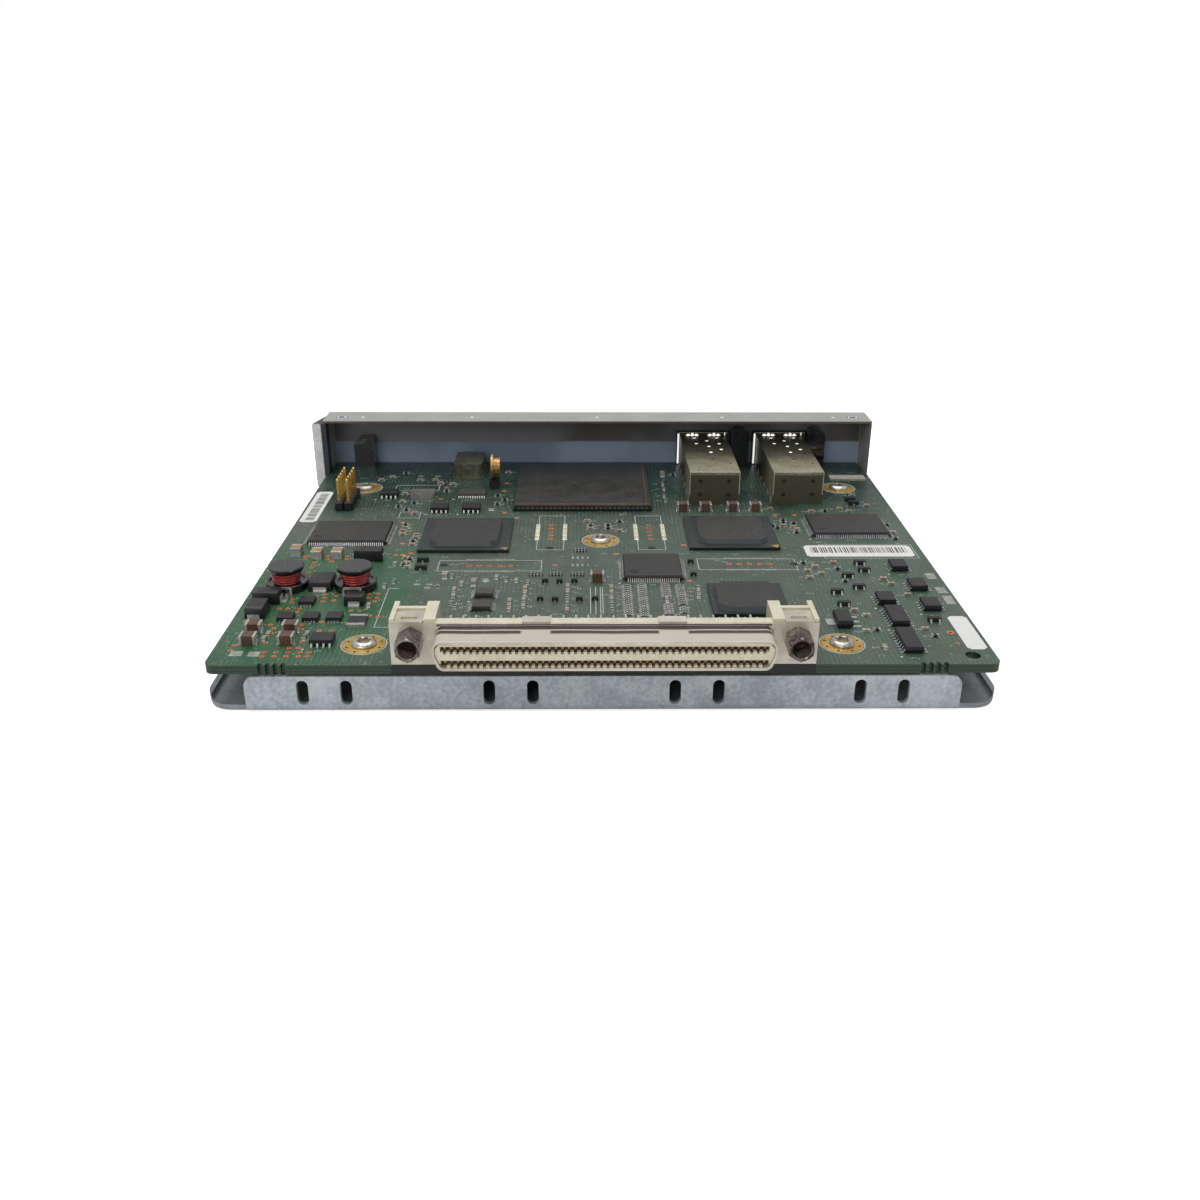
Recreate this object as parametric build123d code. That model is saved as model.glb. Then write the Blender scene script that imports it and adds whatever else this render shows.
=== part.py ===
from build123d import *
import os

# Port adapter card: a circuit board on a folded carrier tray, with a folded faceplate at the front,
# two small-form-factor module cages behind it, and a shielded two-slot connector at the rear.
# Millimetres. X runs across the card, Y from the rear connector towards the faceplate, Z up.
# The origin is on the tray's underside, below the middle of the board.

# Circuit board
BOARD_IN = 0.25
BOARD_FRONT_IN = 0.5
BOARD_FRONT_L = 12.0
BOARD_L = 135.4
BOARD_T = 2.0
BOARD_REAR_R = 2.0
EDGE_NOTCH_W = 0.9
EDGE_NOTCH_DEPTH = 0.9
EDGE_NOTCH_PITCH = 1.55
EDGE_NOTCH_FIRST_X = 64.9
TOOLING_HOLE_R = 1.6
TOOLING_HOLE_IN = (4.85, 4.0)

# Carrier tray
TRAY_T = 1.2
TRAY_OUT = 1.4
TRAY_BEND_R = 1.8
TRAY_LIP_H = 2.4
TRAY_LIP_BEND_R = 2.2
TRAY_CORNER_R = 6.0
REAR_FLANGE_W = 146.6
REAR_FLANGE_H = 8.4
REAR_FLANGE_CORNER_R = 2.4
CORNER_RELIEF = 1.4
FRONT_FLANGE_H = 7.6
VENT_W = 2.4
VENT_H = 5.6
VENT_LOW_Z = 1.9
VENT_PAIR_GAP = 8.9
VENT_PAIR_X = 38.0
STANDOFF_H = 7.8
STANDOFF_FLATS = 5.5

# Faceplate
PANEL_T = 0.6
PANEL_W = 162.4
PANEL_H = 26.9
PANEL_BEND_R = 1.2
FLANGE_DEPTH = 11.0
BOARD_GAP = 0.3
SEAM_GAP = 0.2
LIP_CLEARANCE = 0.3
TAPPED_HOLE_R = 1.0
TAPPED_HOLE_SIDE = 4.9
TAPPED_HOLE_IN = 7.0

# Machine screws
SCREW_R = 1.45
SCREW_HEAD_R = 2.6
SCREW_HEAD_H = 1.1
SCREW_CLEARANCE = 0.05
SCREW_HOLE_R = 1.7
ROUND_SIDES = 16
BORE_SIDES = 6
BOARD_SCREW_L = 6.5
BOARD_SCREWS = [(0.1, 1.2), (-50.1, -58.3), (50.1, -58.3), (-67.3, 42.9), (69.6, 42.9)]

# Pull handle
HANDLE_X = -48.0
HANDLE_Z = 13.0
HANDLE_W = 38.0
HANDLE_BAR_T = 4.0
HANDLE_LEG_T = 5.0
HANDLE_REACH = 15.0
HANDLE_H = 7.0
HANDLE_OUTER_R = 5.0
HANDLE_INNER_R = 2.5

# Module cages
CAGE_X = [32.1, 55.35]
CAGE_W = 14.0
CAGE_H = 9.1
CAGE_T = 0.3
CAGE_BACK_Y = 29.4
CAGE_PROUD = 4.2
CAGE_NOTCH_W = 3.2
CAGE_NOTCH_D = 0.5
CAGE_HOLE_R = 0.45
CAGE_HOLE_SIDES = 6
CAGE_HOLES_X = [-4.1, 3.6, 0.2, -3.3, 4.4, 1.0, 5.2]
CAGE_HOLE_FIRST_Y = 35.0
CAGE_HOLE_STEP_Y = -4.4
CAGE_BACK_HOLE_X = 4.0
CAGE_BACK_HOLE_Z = [2.7, 6.6]
OPENING_CLEARANCE = 0.35
FINGER_T = 0.25
FINGER_L = 2.0
FINGER_STEP = 0.8
FINGER_SLIT = 0.6
FINGER_TIP_GAP = 0.3
CAGE_FLOOR_L = 33.0
HOST_W = 12.2
HOST_D = 8.6
HOST_H = 5.4
HOST_SLOT_W = 10.4
HOST_SLOT_H = 1.4
HOST_SLOT_Z = 3.2
HOST_SLOT_D = 5.0

# Lamp housings behind the faceplate
LAMP_OFFSET_X = 10.9
PORT_LAMP_W = 5.4
PORT_LAMP_H = 11.6
PORT_LAMP_ARCH_R = 2.3
LAMP_DEPTH = 4.8
SIDE_LAMP_SIDE = 10.4
SIDE_LAMP_W = 5.9
SIDE_LAMP_H = 8.8
SIDE_LAMP_CUT = 1.6
LENS_W = 2.6
LENS_H = 1.4
LENS_PROUD = 0.4
LENS_CLEARANCE = 0.1
PORT_LENS_Z = [3.6, 7.9]
SIDE_LENS_Z = 5.0

# Spring strip clipped over the left flange's rear edge
STRIP_T = 0.25
STRIP_LOW_Z = 6.8
STRIP_TOP_GAP = 0.2
STRIP_BOW = 3.0
STRIP_INNER_LEG = 4.2
STRIP_SLIT = 0.6
STRIP_FINGERS = 3
STRIP_GAP = 0.1

# Rear connector
POSITIONS = 50
PITCH = 1.27
SHELL_T = 0.5
PLATE_OVERHANG = 0.1
SHELL_HALF_W = 42.9
SHELL_LOW = 0.2
SHELL_TOP = 9.2
NOSE_LOW = 2.6
NOSE_TOP = 8.8
NOSE_HALF_TOP = 33.6
NOSE_HALF_LOW = 32.4
NOSE_CORNER_R = 1.6
NOSE_ROOT_R = 0.35
NOSE_REACH = 7.5
NOSE_RECESS = 0.4
NOSE_CLEARANCE = 0.05
SLOT_W = 64.0
SLOT_H = 1.15
SLOT_RISE = 1.5
SLOT_DROP = 0.07
SLOT_DEPTH = 5.5
TOOTH_POCKET_W = 0.6
TOOTH_POCKET_H = 0.5
TOOTH_POCKET_D = 1.4
CONTACT_W = 0.5
CONTACT_T = 0.35
CONTACT_DIP = 0.5
CONTACT_LIFT = 0.1
CONTACT_TIP_BACK = 0.9
BODY_T = 2.3
BODY_GAP = 0.05
BLOCK_W = 9.2
BLOCK_D = 8.9
BLOCK_RIDGE = 0.8
BLOCK_HOLLOW_L = 2.4
BLOCK_HOLLOW_D = 1.6
EAR_W = 5.7
EAR_L = 5.3
EAR_X = 39.0
EAR_WINDOW = (3.3, 1.1)
EAR_WINDOW_IN = 1.9
CLIP_X = 13.6
CLIP_W = 5.6
CLIP_L = 2.6
TAIL_W = 0.4
TAIL_UPPER_Z = 8.4
TAIL_DROP = 0.7
TAIL_REACH = [3.4, 2.2]
POST_FLATS = 4.75
POST_L = 5.6
POST_X = 38.7
POST_Z = 6.0
POST_BORE_R = 1.9
POST_BORE_L = 5.0
POST_MOUTH = 0.3

# Chips: centre, body size and height of each kind
BALL_GAP = 0.3
FRAMER_AT = (-4.5, 42.4)
FRAMER_SIZE = 38.4
FRAMER_BASE_T = 0.5
FRAMER_LID_T = 0.8
FRAMER_LID_IN = 0.4
GRID_CHIPS = [(-34.4, 4.3, 23.0, 18.0), (33.9, 5.8, 23.0, 18.0), (33.0, -36.6, 17.0, 15.0)]
GRID_BASE_T = 0.5
GRID_MOULD_T = 1.1
GRID_CORNER = 2.2
MOULD_DRAFT = 12
BLOCK_DRAFT = 4
FLAT_PACKS = [(-64.4, 5.1, 20.0, 14.0), (65.2, 10.3, 20.0, 14.0), (12.3, -18.1, 14.0, 14.0)]
FLAT_PACK_H = 1.4
LEAD_GAP = 0.1
SMALL_IC_H = 1.45
SO8 = (4.9, 3.9)
SO8_ALONG_X = [(-58.9, -57.3), (-59.2, 36.1), (-43.7, 24.1), (-35.0, 24.1)]
SO8_ALONG_Y = [(72.0, -17.2), (73.6, -29.0), (73.7, -40.0), (64.3, -36.8)]
SO14_AT = (64.6, -46.1)
SO14 = (3.9, 8.65)
SO16_AT = (64.2, -58.1)
SO16 = (3.9, 9.9)
THIN_PACK_AT = (-35.9, 36.7)
THIN_PACK = (7.8, 4.4)
THIN_PACK_H = 1.0
GREY_PACKS = [(-26.9, -32.9), (-27.0, -40.0)]
GREY_PACK = (4.4, 3.6, 1.0)

# Small transistors, regulator and resonators
TRANSISTOR = (2.9, 1.3, 1.0)
TRANSISTORS = [(72.6, -47.3), (63.3, -14.7), (63.4, -19.2), (58.8, -22.6), (60.0, -29.3), (54.3, -32.1),
               (54.5, -38.8)]
REGULATOR_AT = (52.3, -48.1)
REGULATOR = (3.5, 6.3, 1.6)
REGULATOR_TAB = (1.9, 3.0, 0.3)
REGULATOR_LEAD = (1.9, 0.7, 0.3)
REGULATOR_LEAD_PITCH = 2.3
CRYSTAL_AT = (-49.9, 36.4)
CRYSTAL = (6.8, 4.8, 1.2)
CAN_AT = (-38.5, 58.2)
CAN = (8.3, 13.0, 3.9)
CAN_CORNER = 0.6
CAN_FOOT_OUT = 0.5
CAN_FOOT_T = 0.4
DISC_AT = (-30.1, 44.6)
DISC_SOCKET = (2.7, 4.8, 2.4)
DISC_PLATE_R = 3.6
DISC_PLATE_T = 0.6
DISC_BODY_R = 2.6
DISC_BODY_T = 1.9

# Pin header
HEADER_AT = (-69.9, 29.9)
HEADER_ROWS = 5
HEADER_COLUMNS = 2
HEADER_PITCH = 2.54
HEADER_H = 2.5
HEADER_PIN = 0.64
HEADER_PIN_TOP = 8.9

# Power section
INDUCTORS = [(-73.0, -28.2), (-57.1, -28.3)]
INDUCTOR_BASE_R = 4.9
INDUCTOR_BASE_H = 1.9
INDUCTOR_CUP_FLOOR = 0.7
INDUCTOR_CUP_WALL = 0.6
INDUCTOR_TOP_R = 4.15
INDUCTOR_TOP_T = 0.95
INDUCTOR_H = 5.5
INDUCTOR_POST_R = 1.8
INDUCTOR_COIL_R = 3.3
INDUCTOR_CLIP = (4.4, 0.4, 2.1)
INDUCTOR_CLIP_WIRE = 0.5
TANTALUMS = [(-76.0, -43.6, 4.2, 6.3), (-75.6, -36.4, 6.2, 3.8), (-57.0, -11.3, 7.2, 3.4)]
TANTALUM_H = 2.85
DIODES = [(-65.0, -27.7, 5.5, 6.6), (-55.7, -37.3, 4.6, 3.5)]
DIODE_H = 2.3
SWITCHES = [(-66.5, -37.1), (-69.3, -45.6), (-63.8, -45.6), (-58.7, -45.6)]
SWITCH = (3.4, 3.3, 1.0)
SENSE_AT = (-53.4, -47.5)
SENSE = (3.9, 5.4, 0.7)
CHIP_CAP_LONG = 3.3
CHIP_CAP_WIDE = 2.6
CHIP_CAP_END = 0.55
CHIP_CAP_LIP = 0.05
TAN_CAPS = [(-75.5, -7.8), (-70.0, -9.8), (-65.0, -9.8)]
TAN_CAP_H = 2.0
BROWN_CAPS = [(-74.6, -51.7), (-74.3, -57.4), (-66.8, -51.7), (-66.4, -57.3)]
BROWN_CAPS += [(23.0, 24.3), (29.2, 24.3), (36.7, 24.3), (42.9, 24.3), (-1.0, -24.4)]
BROWN_CAP_H = 2.1

# Labels and gasket
LABEL_T = 0.12
LABELS = [(-77.9, 27.0, 4.6, 24.7), (64.9, -6.3, 27.0, 7.4), (78.0, -53.1, 4.2, 16.2)]
LABEL_CORNER = 0.8
GASKET_AT = (73.9, 51.5)
GASKET = (10.4, 3.6, 0.6)

# Levels and faces that everything else is built from
BOARD_W = PANEL_W - 2 * BOARD_IN
BOARD_FRONT_W = PANEL_W - 2 * PANEL_T - 2 * BOARD_FRONT_IN
TRAY_W = PANEL_W + 2 * TRAY_OUT
TAPPED_HOLE_X = PANEL_W / 2 - TAPPED_HOLE_SIDE
SIDE_LAMP_X = SIDE_LAMP_SIDE - PANEL_W / 2
BOARD_Z = TRAY_T + STANDOFF_H
TOP = BOARD_Z + BOARD_T
REAR = -BOARD_L / 2
FRONT = BOARD_L / 2
PANEL_IN = FRONT + BOARD_GAP
PANEL_OUT = PANEL_IN + PANEL_T
FLANGE_REAR = PANEL_IN - FLANGE_DEPTH
PLATE_FRONT = REAR - PLATE_OVERHANG
PLATE_BACK = PLATE_FRONT + SHELL_T
NOSE_FRONT = PLATE_FRONT - NOSE_REACH
SLOT_MID_Z = (NOSE_LOW + NOSE_TOP) / 2
CAGE_FRONT_Y = PANEL_OUT + CAGE_PROUD
CAGE_L = CAGE_FRONT_Y - CAGE_BACK_Y
QUARTER_TURN = 90
SEAT = (Align.CENTER, Align.CENTER, Align.MIN)


def block(x, y, z, w, d, h):
    """A box centred on x and y that stands on z."""
    return Pos(x, y, z + h / 2) * Box(w, d, h)


def prism(x, y, z, r, h, sides=ROUND_SIDES):
    """A small round post drawn with flat sides to keep the model light, standing on z."""
    return Pos(x, y, z) * extrude(RegularPolygon(r, sides), h)


def joined(parts):
    """One compound of separate solids."""
    return Compound(children=list(parts))


def channel_section(width, height, thickness, bend_r):
    """An upright U section: a flat base with two upturned legs and rounded bends."""
    outer = Pos(0, height / 2) * Rectangle(width, height)
    outer = fillet(outer.vertices().group_by(Axis.Y)[0], bend_r)
    inner = Pos(0, thickness + height / 2) * Rectangle(width - 2 * thickness, height)
    inner = fillet(inner.vertices().group_by(Axis.Y)[0], bend_r - thickness)
    return outer - inner


def angle_section(leg_a, leg_b, thickness, bend_r):
    """An L section with its outer corner at the origin and legs along +X and +Y."""
    points = [(0, 0), (leg_a, 0), (leg_a, thickness), (thickness, thickness), (thickness, leg_b), (0, leg_b)]
    face = make_face(Polyline(*points, close=True))
    inner = face.vertices().sort_by_distance((thickness, thickness))[0]
    face = fillet(inner, bend_r - thickness)
    outer = face.vertices().sort_by_distance((0, 0))[0]
    return fillet(outer, bend_r)


def carrier_tray():
    """The folded tray: base, side lips, rear flange with vents, front flange."""
    length = PANEL_IN - REAR
    middle = (PANEL_IN + REAR) / 2
    long_section = Plane.YZ * Pos(middle, 0) * channel_section(length, REAR_FLANGE_H, TRAY_T, TRAY_BEND_R)
    flanged = extrude(long_section, REAR_FLANGE_W / 2, both=True)
    top_corners = flanged.edges().filter_by(Axis.Y).group_by(Axis.Z)[-1]
    flanged = fillet(top_corners.group_by(Axis.Y)[0], REAR_FLANGE_CORNER_R)
    side_section = Plane.XZ * channel_section(TRAY_W, TRAY_LIP_H, TRAY_T, TRAY_LIP_BEND_R)
    side_rear = REAR + CORNER_RELIEF
    side_front = PANEL_IN - LIP_CLEARANCE
    sides = Pos(0, side_front, 0) * extrude(side_section, side_front - side_rear)
    plan = Pos(0, (side_rear + side_front) / 2) * Rectangle(TRAY_W, side_front - side_rear)
    plan = fillet(plan.vertices().group_by(Axis.Y)[0], TRAY_CORNER_R)
    sides = sides & extrude(plan, TRAY_LIP_H)
    tray = flanged + sides
    spare = block(0, PANEL_IN - TRAY_T / 2, FRONT_FLANGE_H, TRAY_W, 3 * TRAY_T, REAR_FLANGE_H)
    tray -= spare
    end = RegularPolygon(VENT_W / 2, ROUND_SIDES)
    straight = VENT_H - VENT_W
    slot = Rectangle(VENT_W, straight) + Pos(0, straight / 2) * end + Pos(0, -straight / 2) * end
    vent = Rot(QUARTER_TURN, 0, 0) * extrude(slot, TRAY_T, both=True)
    for pair in (-1.5, -0.5, 0.5, 1.5):
        for side in (-0.5, 0.5):
            x = pair * VENT_PAIR_X + side * VENT_PAIR_GAP
            tray -= Pos(x, REAR + TRAY_T / 2, VENT_LOW_Z + VENT_H / 2) * vent
    return tray


def standoffs():
    """Hexagonal posts on the tray, bored for the board screws."""
    bore = SCREW_R + SCREW_CLEARANCE
    posts = []
    for x, y in BOARD_SCREWS:
        hexagon = RegularPolygon(STANDOFF_FLATS / 2, 6, major_radius=False)
        post = Pos(x, y, TRAY_T) * extrude(hexagon, STANDOFF_H)
        posts.append(post - prism(x, y, TRAY_T, bore, STANDOFF_H, BORE_SIDES))
    return joined(posts)


def board_screws():
    """Pan-head screws through the board into the posts."""
    shank = prism(0, 0, -BOARD_SCREW_L, SCREW_R, BOARD_SCREW_L, BORE_SIDES)
    screw = prism(0, 0, 0, SCREW_HEAD_R, SCREW_HEAD_H) + shank
    return joined(Pos(x, y, TOP) * screw for x, y in BOARD_SCREWS)


def faceplate():
    """The folded faceplate: panel, top flange and two side flanges, with its cut-outs."""
    depth = FLANGE_DEPTH + PANEL_T
    panel = angle_section(depth, PANEL_H, PANEL_T, PANEL_BEND_R)
    flat_w = PANEL_W - 2 * PANEL_BEND_R
    profile = Plane((0, PANEL_OUT, PANEL_H), x_dir=(0, -1, 0), z_dir=(1, 0, 0)) * panel
    body = extrude(profile, PANEL_W / 2, both=True)
    body -= block(0, PANEL_OUT, 0, PANEL_W + PANEL_T, 2 * PANEL_T, PANEL_H - PANEL_T)
    body += block(0, PANEL_IN + PANEL_T / 2, 0, flat_w, PANEL_T, PANEL_H - PANEL_T)
    low = TRAY_LIP_H + LIP_CLEARANCE
    high = PANEL_H - PANEL_T - SEAM_GAP
    section = Rot(0, 0, 180) * angle_section(PANEL_W / 2, depth, PANEL_T, PANEL_BEND_R)
    side = Pos(PANEL_W / 2, PANEL_OUT, low) * extrude(section, high - low)
    body += side + mirror(side, Plane.YZ)
    tapped_y = PANEL_OUT - TAPPED_HOLE_IN
    for edge in (-1, 1):
        body -= prism(edge * TAPPED_HOLE_X, tapped_y, PANEL_H - PANEL_T, TAPPED_HOLE_R, PANEL_T)
    opening_w = CAGE_W + 2 * OPENING_CLEARANCE
    opening_h = CAGE_H + 2 * OPENING_CLEARANCE
    for x in CAGE_X:
        body -= block(x, PANEL_OUT, TOP - OPENING_CLEARANCE, opening_w, 4 * PANEL_T, opening_h)
    slot_w = LENS_W + 2 * LENS_CLEARANCE
    slot_h = LENS_H + 2 * LENS_CLEARANCE
    for x, z in lens_places():
        body -= block(x, PANEL_IN + PANEL_T / 2, z - slot_h / 2, slot_w, 2 * PANEL_T, slot_h)
    return body


def pull_handle():
    """The moulded pull handle: a bar on two legs whose ends rest on the panel."""
    inner_w = HANDLE_W - 2 * HANDLE_LEG_T
    outer = Pos(0, HANDLE_REACH / 2) * Rectangle(HANDLE_W, HANDLE_REACH)
    outer = fillet(outer.vertices().group_by(Axis.Y)[-1], HANDLE_OUTER_R)
    inner = Pos(0, (HANDLE_REACH - HANDLE_BAR_T) / 2) * Rectangle(inner_w, HANDLE_REACH - HANDLE_BAR_T)
    inner = fillet(inner.vertices().group_by(Axis.Y)[-1], HANDLE_INNER_R)
    return Pos(HANDLE_X, PANEL_OUT, HANDLE_Z - HANDLE_H / 2) * extrude(outer - inner, HANDLE_H)


def spring_strip():
    """The grounding strip: an inner leg, a turn over the flange's edge and bowed outer fingers."""
    inner = -PANEL_W / 2 + PANEL_T + STRIP_GAP + STRIP_T / 2
    outer = -PANEL_W / 2 - STRIP_BOW
    turn = FLANGE_REAR - STRIP_GAP - STRIP_T / 2
    tip = (-PANEL_W / 2 - STRIP_GAP - STRIP_T, PANEL_IN - PANEL_BEND_R)
    leg_end = (inner, turn + STRIP_INNER_LEG)
    line = Polyline(leg_end, (inner, turn), (outer, turn), (outer, turn + PANEL_T), tip)
    low = STRIP_LOW_Z
    high = PANEL_H - PANEL_T - STRIP_TOP_GAP
    strip = Pos(0, 0, low) * extrude(trace(line, STRIP_T), high - low)
    step = (high - low) / STRIP_FINGERS
    slit_w = 2 * STRIP_BOW + 3 * STRIP_T
    slit_y = turn + STRIP_T / 2 + FLANGE_DEPTH / 2
    for i in range(1, STRIP_FINGERS):
        z = low + i * step - STRIP_SLIT / 2
        strip -= block(outer - STRIP_T, slit_y, z, slit_w, FLANGE_DEPTH, STRIP_SLIT)
    return strip


def circuit_board():
    """The bare board, narrower between the side flanges, with its holes and perforated edge stubs."""
    plan = Rectangle(BOARD_W, BOARD_L)
    plan = fillet(plan.vertices().group_by(Axis.Y)[0], BOARD_REAR_R)
    side_w = (BOARD_W - BOARD_FRONT_W) / 2
    for side in (-1, 1):
        x = side * (BOARD_W - side_w) / 2
        plan -= Pos(x, FRONT - BOARD_FRONT_L / 2) * Rectangle(side_w, BOARD_FRONT_L)
    board = Pos(0, 0, BOARD_Z) * extrude(plan, BOARD_T)
    for x, y in BOARD_SCREWS:
        board -= prism(x, y, BOARD_Z, SCREW_HOLE_R, BOARD_T, BORE_SIDES)
    tooling_x = BOARD_W / 2 - TOOLING_HOLE_IN[0]
    board -= prism(tooling_x, REAR + TOOLING_HOLE_IN[1], BOARD_Z, TOOLING_HOLE_R, BOARD_T)
    for side in (-1, 1):
        for i in range(4):
            x = side * (EDGE_NOTCH_FIRST_X + i * EDGE_NOTCH_PITCH)
            board -= block(x, REAR, BOARD_Z, EDGE_NOTCH_W, 2 * EDGE_NOTCH_DEPTH, BOARD_T)
    return board


def module_cage():
    """One cage at x 0: a folded sheet tube, open at the front and below, with a closed back."""
    middle = (CAGE_BACK_Y + CAGE_FRONT_Y) / 2
    cage = block(0, middle, TOP, CAGE_W, CAGE_L, CAGE_H)
    cage -= block(0, middle + CAGE_T, TOP, CAGE_W - 2 * CAGE_T, CAGE_L, CAGE_H - CAGE_T)
    back_hole = Rot(QUARTER_TURN, 0, 0) * prism(0, 0, 0, CAGE_HOLE_R, 3 * CAGE_T, CAGE_HOLE_SIDES)
    for side in (-1, 1):
        x = side * (CAGE_W / 2 - CAGE_NOTCH_W / 2 - CAGE_T)
        cage -= block(x, CAGE_BACK_Y, TOP + CAGE_H - CAGE_T, CAGE_NOTCH_W, CAGE_NOTCH_D, CAGE_T)
        hole_x = side * CAGE_BACK_HOLE_X
        for z in CAGE_BACK_HOLE_Z:
            cage -= Pos(hole_x, CAGE_BACK_Y + 2 * CAGE_T, TOP + z) * back_hole
    for i, x in enumerate(CAGE_HOLES_X):
        y = CAGE_BACK_Y + CAGE_HOLE_FIRST_Y + i * CAGE_HOLE_STEP_Y
        cage -= prism(x, y, TOP + CAGE_H - 2 * CAGE_T, CAGE_HOLE_R, 3 * CAGE_T, CAGE_HOLE_SIDES)
    return cage


def cage_floors():
    """The flat floor plates that close the front part of each cage."""
    y = CAGE_FRONT_Y - CAGE_FLOOR_L / 2
    return joined(block(x, y, TOP, CAGE_W - 2 * CAGE_T, CAGE_FLOOR_L, CAGE_T) for x in CAGE_X)


def cage_fingers():
    """A stepped spring collar round each cage that rests on the panel's back, with slits on top."""
    front = PANEL_IN - FINGER_TIP_GAP
    y = front - FINGER_L / 2
    width = CAGE_W + 2 * (FINGER_STEP + FINGER_T)
    height = CAGE_H + FINGER_STEP + FINGER_T
    collar = block(0, y, TOP, width, FINGER_L, height)
    collar -= block(0, y + FINGER_T, TOP, width - 2 * FINGER_T, FINGER_L, height - FINGER_T)
    collar -= block(0, y, TOP, CAGE_W, 2 * FINGER_L, CAGE_H)
    slit_l = FINGER_L - FINGER_SLIT
    for x in (-CAGE_W / 4, CAGE_W / 4):
        collar -= block(x, front, TOP + CAGE_H, FINGER_SLIT, 2 * slit_l, 2 * FINGER_STEP)
    return joined(Pos(x, 0, 0) * collar for x in CAGE_X)


def host_connectors():
    """The black edge sockets at the back of the cages."""
    y = CAGE_BACK_Y + 2 * CAGE_T + HOST_D / 2
    body = block(0, y, TOP, HOST_W, HOST_D, HOST_H)
    front = y + HOST_D / 2
    body -= block(0, front, TOP + HOST_SLOT_Z - HOST_SLOT_H / 2, HOST_SLOT_W, 2 * HOST_SLOT_D, HOST_SLOT_H)
    body = chamfer(body.edges().group_by(Axis.Z)[-1].sort_by(Axis.Y)[0], HOST_H / 4)
    return joined(Pos(x, 0, 0) * body for x in CAGE_X)


def port_lamp_places():
    """X of the two tall lamp housings."""
    return [x + LAMP_OFFSET_X for x in CAGE_X]


def lens_places():
    """Where each lamp's lens passes through the faceplate, as x and z."""
    places = [(x, TOP + z) for x in port_lamp_places() for z in PORT_LENS_Z]
    return places + [(SIDE_LAMP_X, TOP + SIDE_LENS_Z)]


def port_lamps():
    """Tall lamp housings with arched tops, one beside each cage."""
    arch = Pos(0, PORT_LAMP_H / 2) * Rectangle(PORT_LAMP_W, PORT_LAMP_H)
    arch = fillet(arch.vertices().group_by(Axis.Y)[-1], PORT_LAMP_ARCH_R)
    body = Pos(0, PANEL_IN - BOARD_GAP, TOP) * extrude(Plane.XZ * arch, LAMP_DEPTH)
    return joined(Pos(x, 0, 0) * body for x in port_lamp_places())


def side_lamp():
    """The lower lamp housing near the left flange, with one cut top corner."""
    y = PANEL_IN - BOARD_GAP - LAMP_DEPTH / 2
    body = block(SIDE_LAMP_X, y, TOP, SIDE_LAMP_W, LAMP_DEPTH, SIDE_LAMP_H)
    corner = body.edges().filter_by(Axis.Y).group_by(Axis.Z)[-1].sort_by(Axis.X)[0]
    return chamfer(corner, SIDE_LAMP_CUT)


def lamp_lenses():
    """Small rectangular lenses in the panel, seated on the lamp housings."""
    back = PANEL_IN - BOARD_GAP
    length = PANEL_OUT + LENS_PROUD - back
    lens = block(0, back + length / 2, -LENS_H / 2, LENS_W, length, LENS_H)
    return joined(Pos(x, 0, z) * lens for x, z in lens_places())


def nose_outline(shrink, rounded=True):
    """The connector's D outline in its own plane, x across and y up from the board's top."""
    top = NOSE_TOP - shrink
    low = NOSE_LOW + shrink
    half_top = NOSE_HALF_TOP - shrink
    half_low = NOSE_HALF_LOW - shrink
    middle = (top + low) / 2
    points = [(-half_low, low), (half_low, low), (half_top, middle), (half_top, top),
              (-half_top, top), (-half_top, middle)]
    face = make_face(Polyline(*points, close=True))
    ease = fillet if rounded else chamfer
    size = NOSE_CORNER_R - shrink
    face = ease(face.vertices().group_by(Axis.Y)[0], size)
    return ease(face.vertices().group_by(Axis.Y)[-1], size)


def nose_solid(shrink, y_from, y_to, rounded=True):
    """The D outline extruded between two places along Y, with y_from nearer the rear."""
    return Pos(0, y_to, TOP) * extrude(Plane.XZ * nose_outline(shrink, rounded), y_to - y_from)


def connector_shell():
    """The drawn metal shell: flange plate, D-shaped nose, and tabs folded over the plastic body."""
    height = SHELL_TOP - SHELL_LOW
    plate = block(0, PLATE_FRONT + SHELL_T / 2, TOP + SHELL_LOW, 2 * SHELL_HALF_W, SHELL_T, height)
    low_cut = block(0, PLATE_FRONT + SHELL_T / 2, TOP, 2 * NOSE_HALF_LOW, 2 * SHELL_T, NOSE_LOW)
    shell = plate - low_cut + nose_solid(0, NOSE_FRONT, PLATE_FRONT)
    root = shell.edges().filter_by(Axis.X)
    root = root.filter_by_position(Axis.Y, PLATE_FRONT, PLATE_FRONT).group_by(Axis.Z)[-2]
    shell = fillet(root, NOSE_ROOT_R)
    shell -= nose_solid(SHELL_T, NOSE_FRONT - SHELL_T, PLATE_BACK + SHELL_T)
    for side in (-1, 1):
        ear_y = PLATE_FRONT + EAR_L / 2
        ear = block(side * EAR_X, ear_y, TOP + SHELL_TOP, EAR_W, EAR_L, SHELL_T)
        ear -= block(side * EAR_X, PLATE_FRONT + EAR_WINDOW_IN, TOP + SHELL_TOP, *EAR_WINDOW, SHELL_T)
        clip = block(side * CLIP_X, PLATE_FRONT + CLIP_L / 2, TOP + SHELL_TOP, CLIP_W, CLIP_L, SHELL_T)
        shell += ear
        shell += clip
    return shell


def slot_centres():
    """Heights of the lower and upper slot above the board's top."""
    return [SLOT_MID_Z - SLOT_DROP - SLOT_RISE, SLOT_MID_Z - SLOT_DROP + SLOT_RISE]


def position_places():
    """X of each contact position."""
    return [(i - (POSITIONS - 1) / 2) * PITCH for i in range(POSITIONS)]


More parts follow.
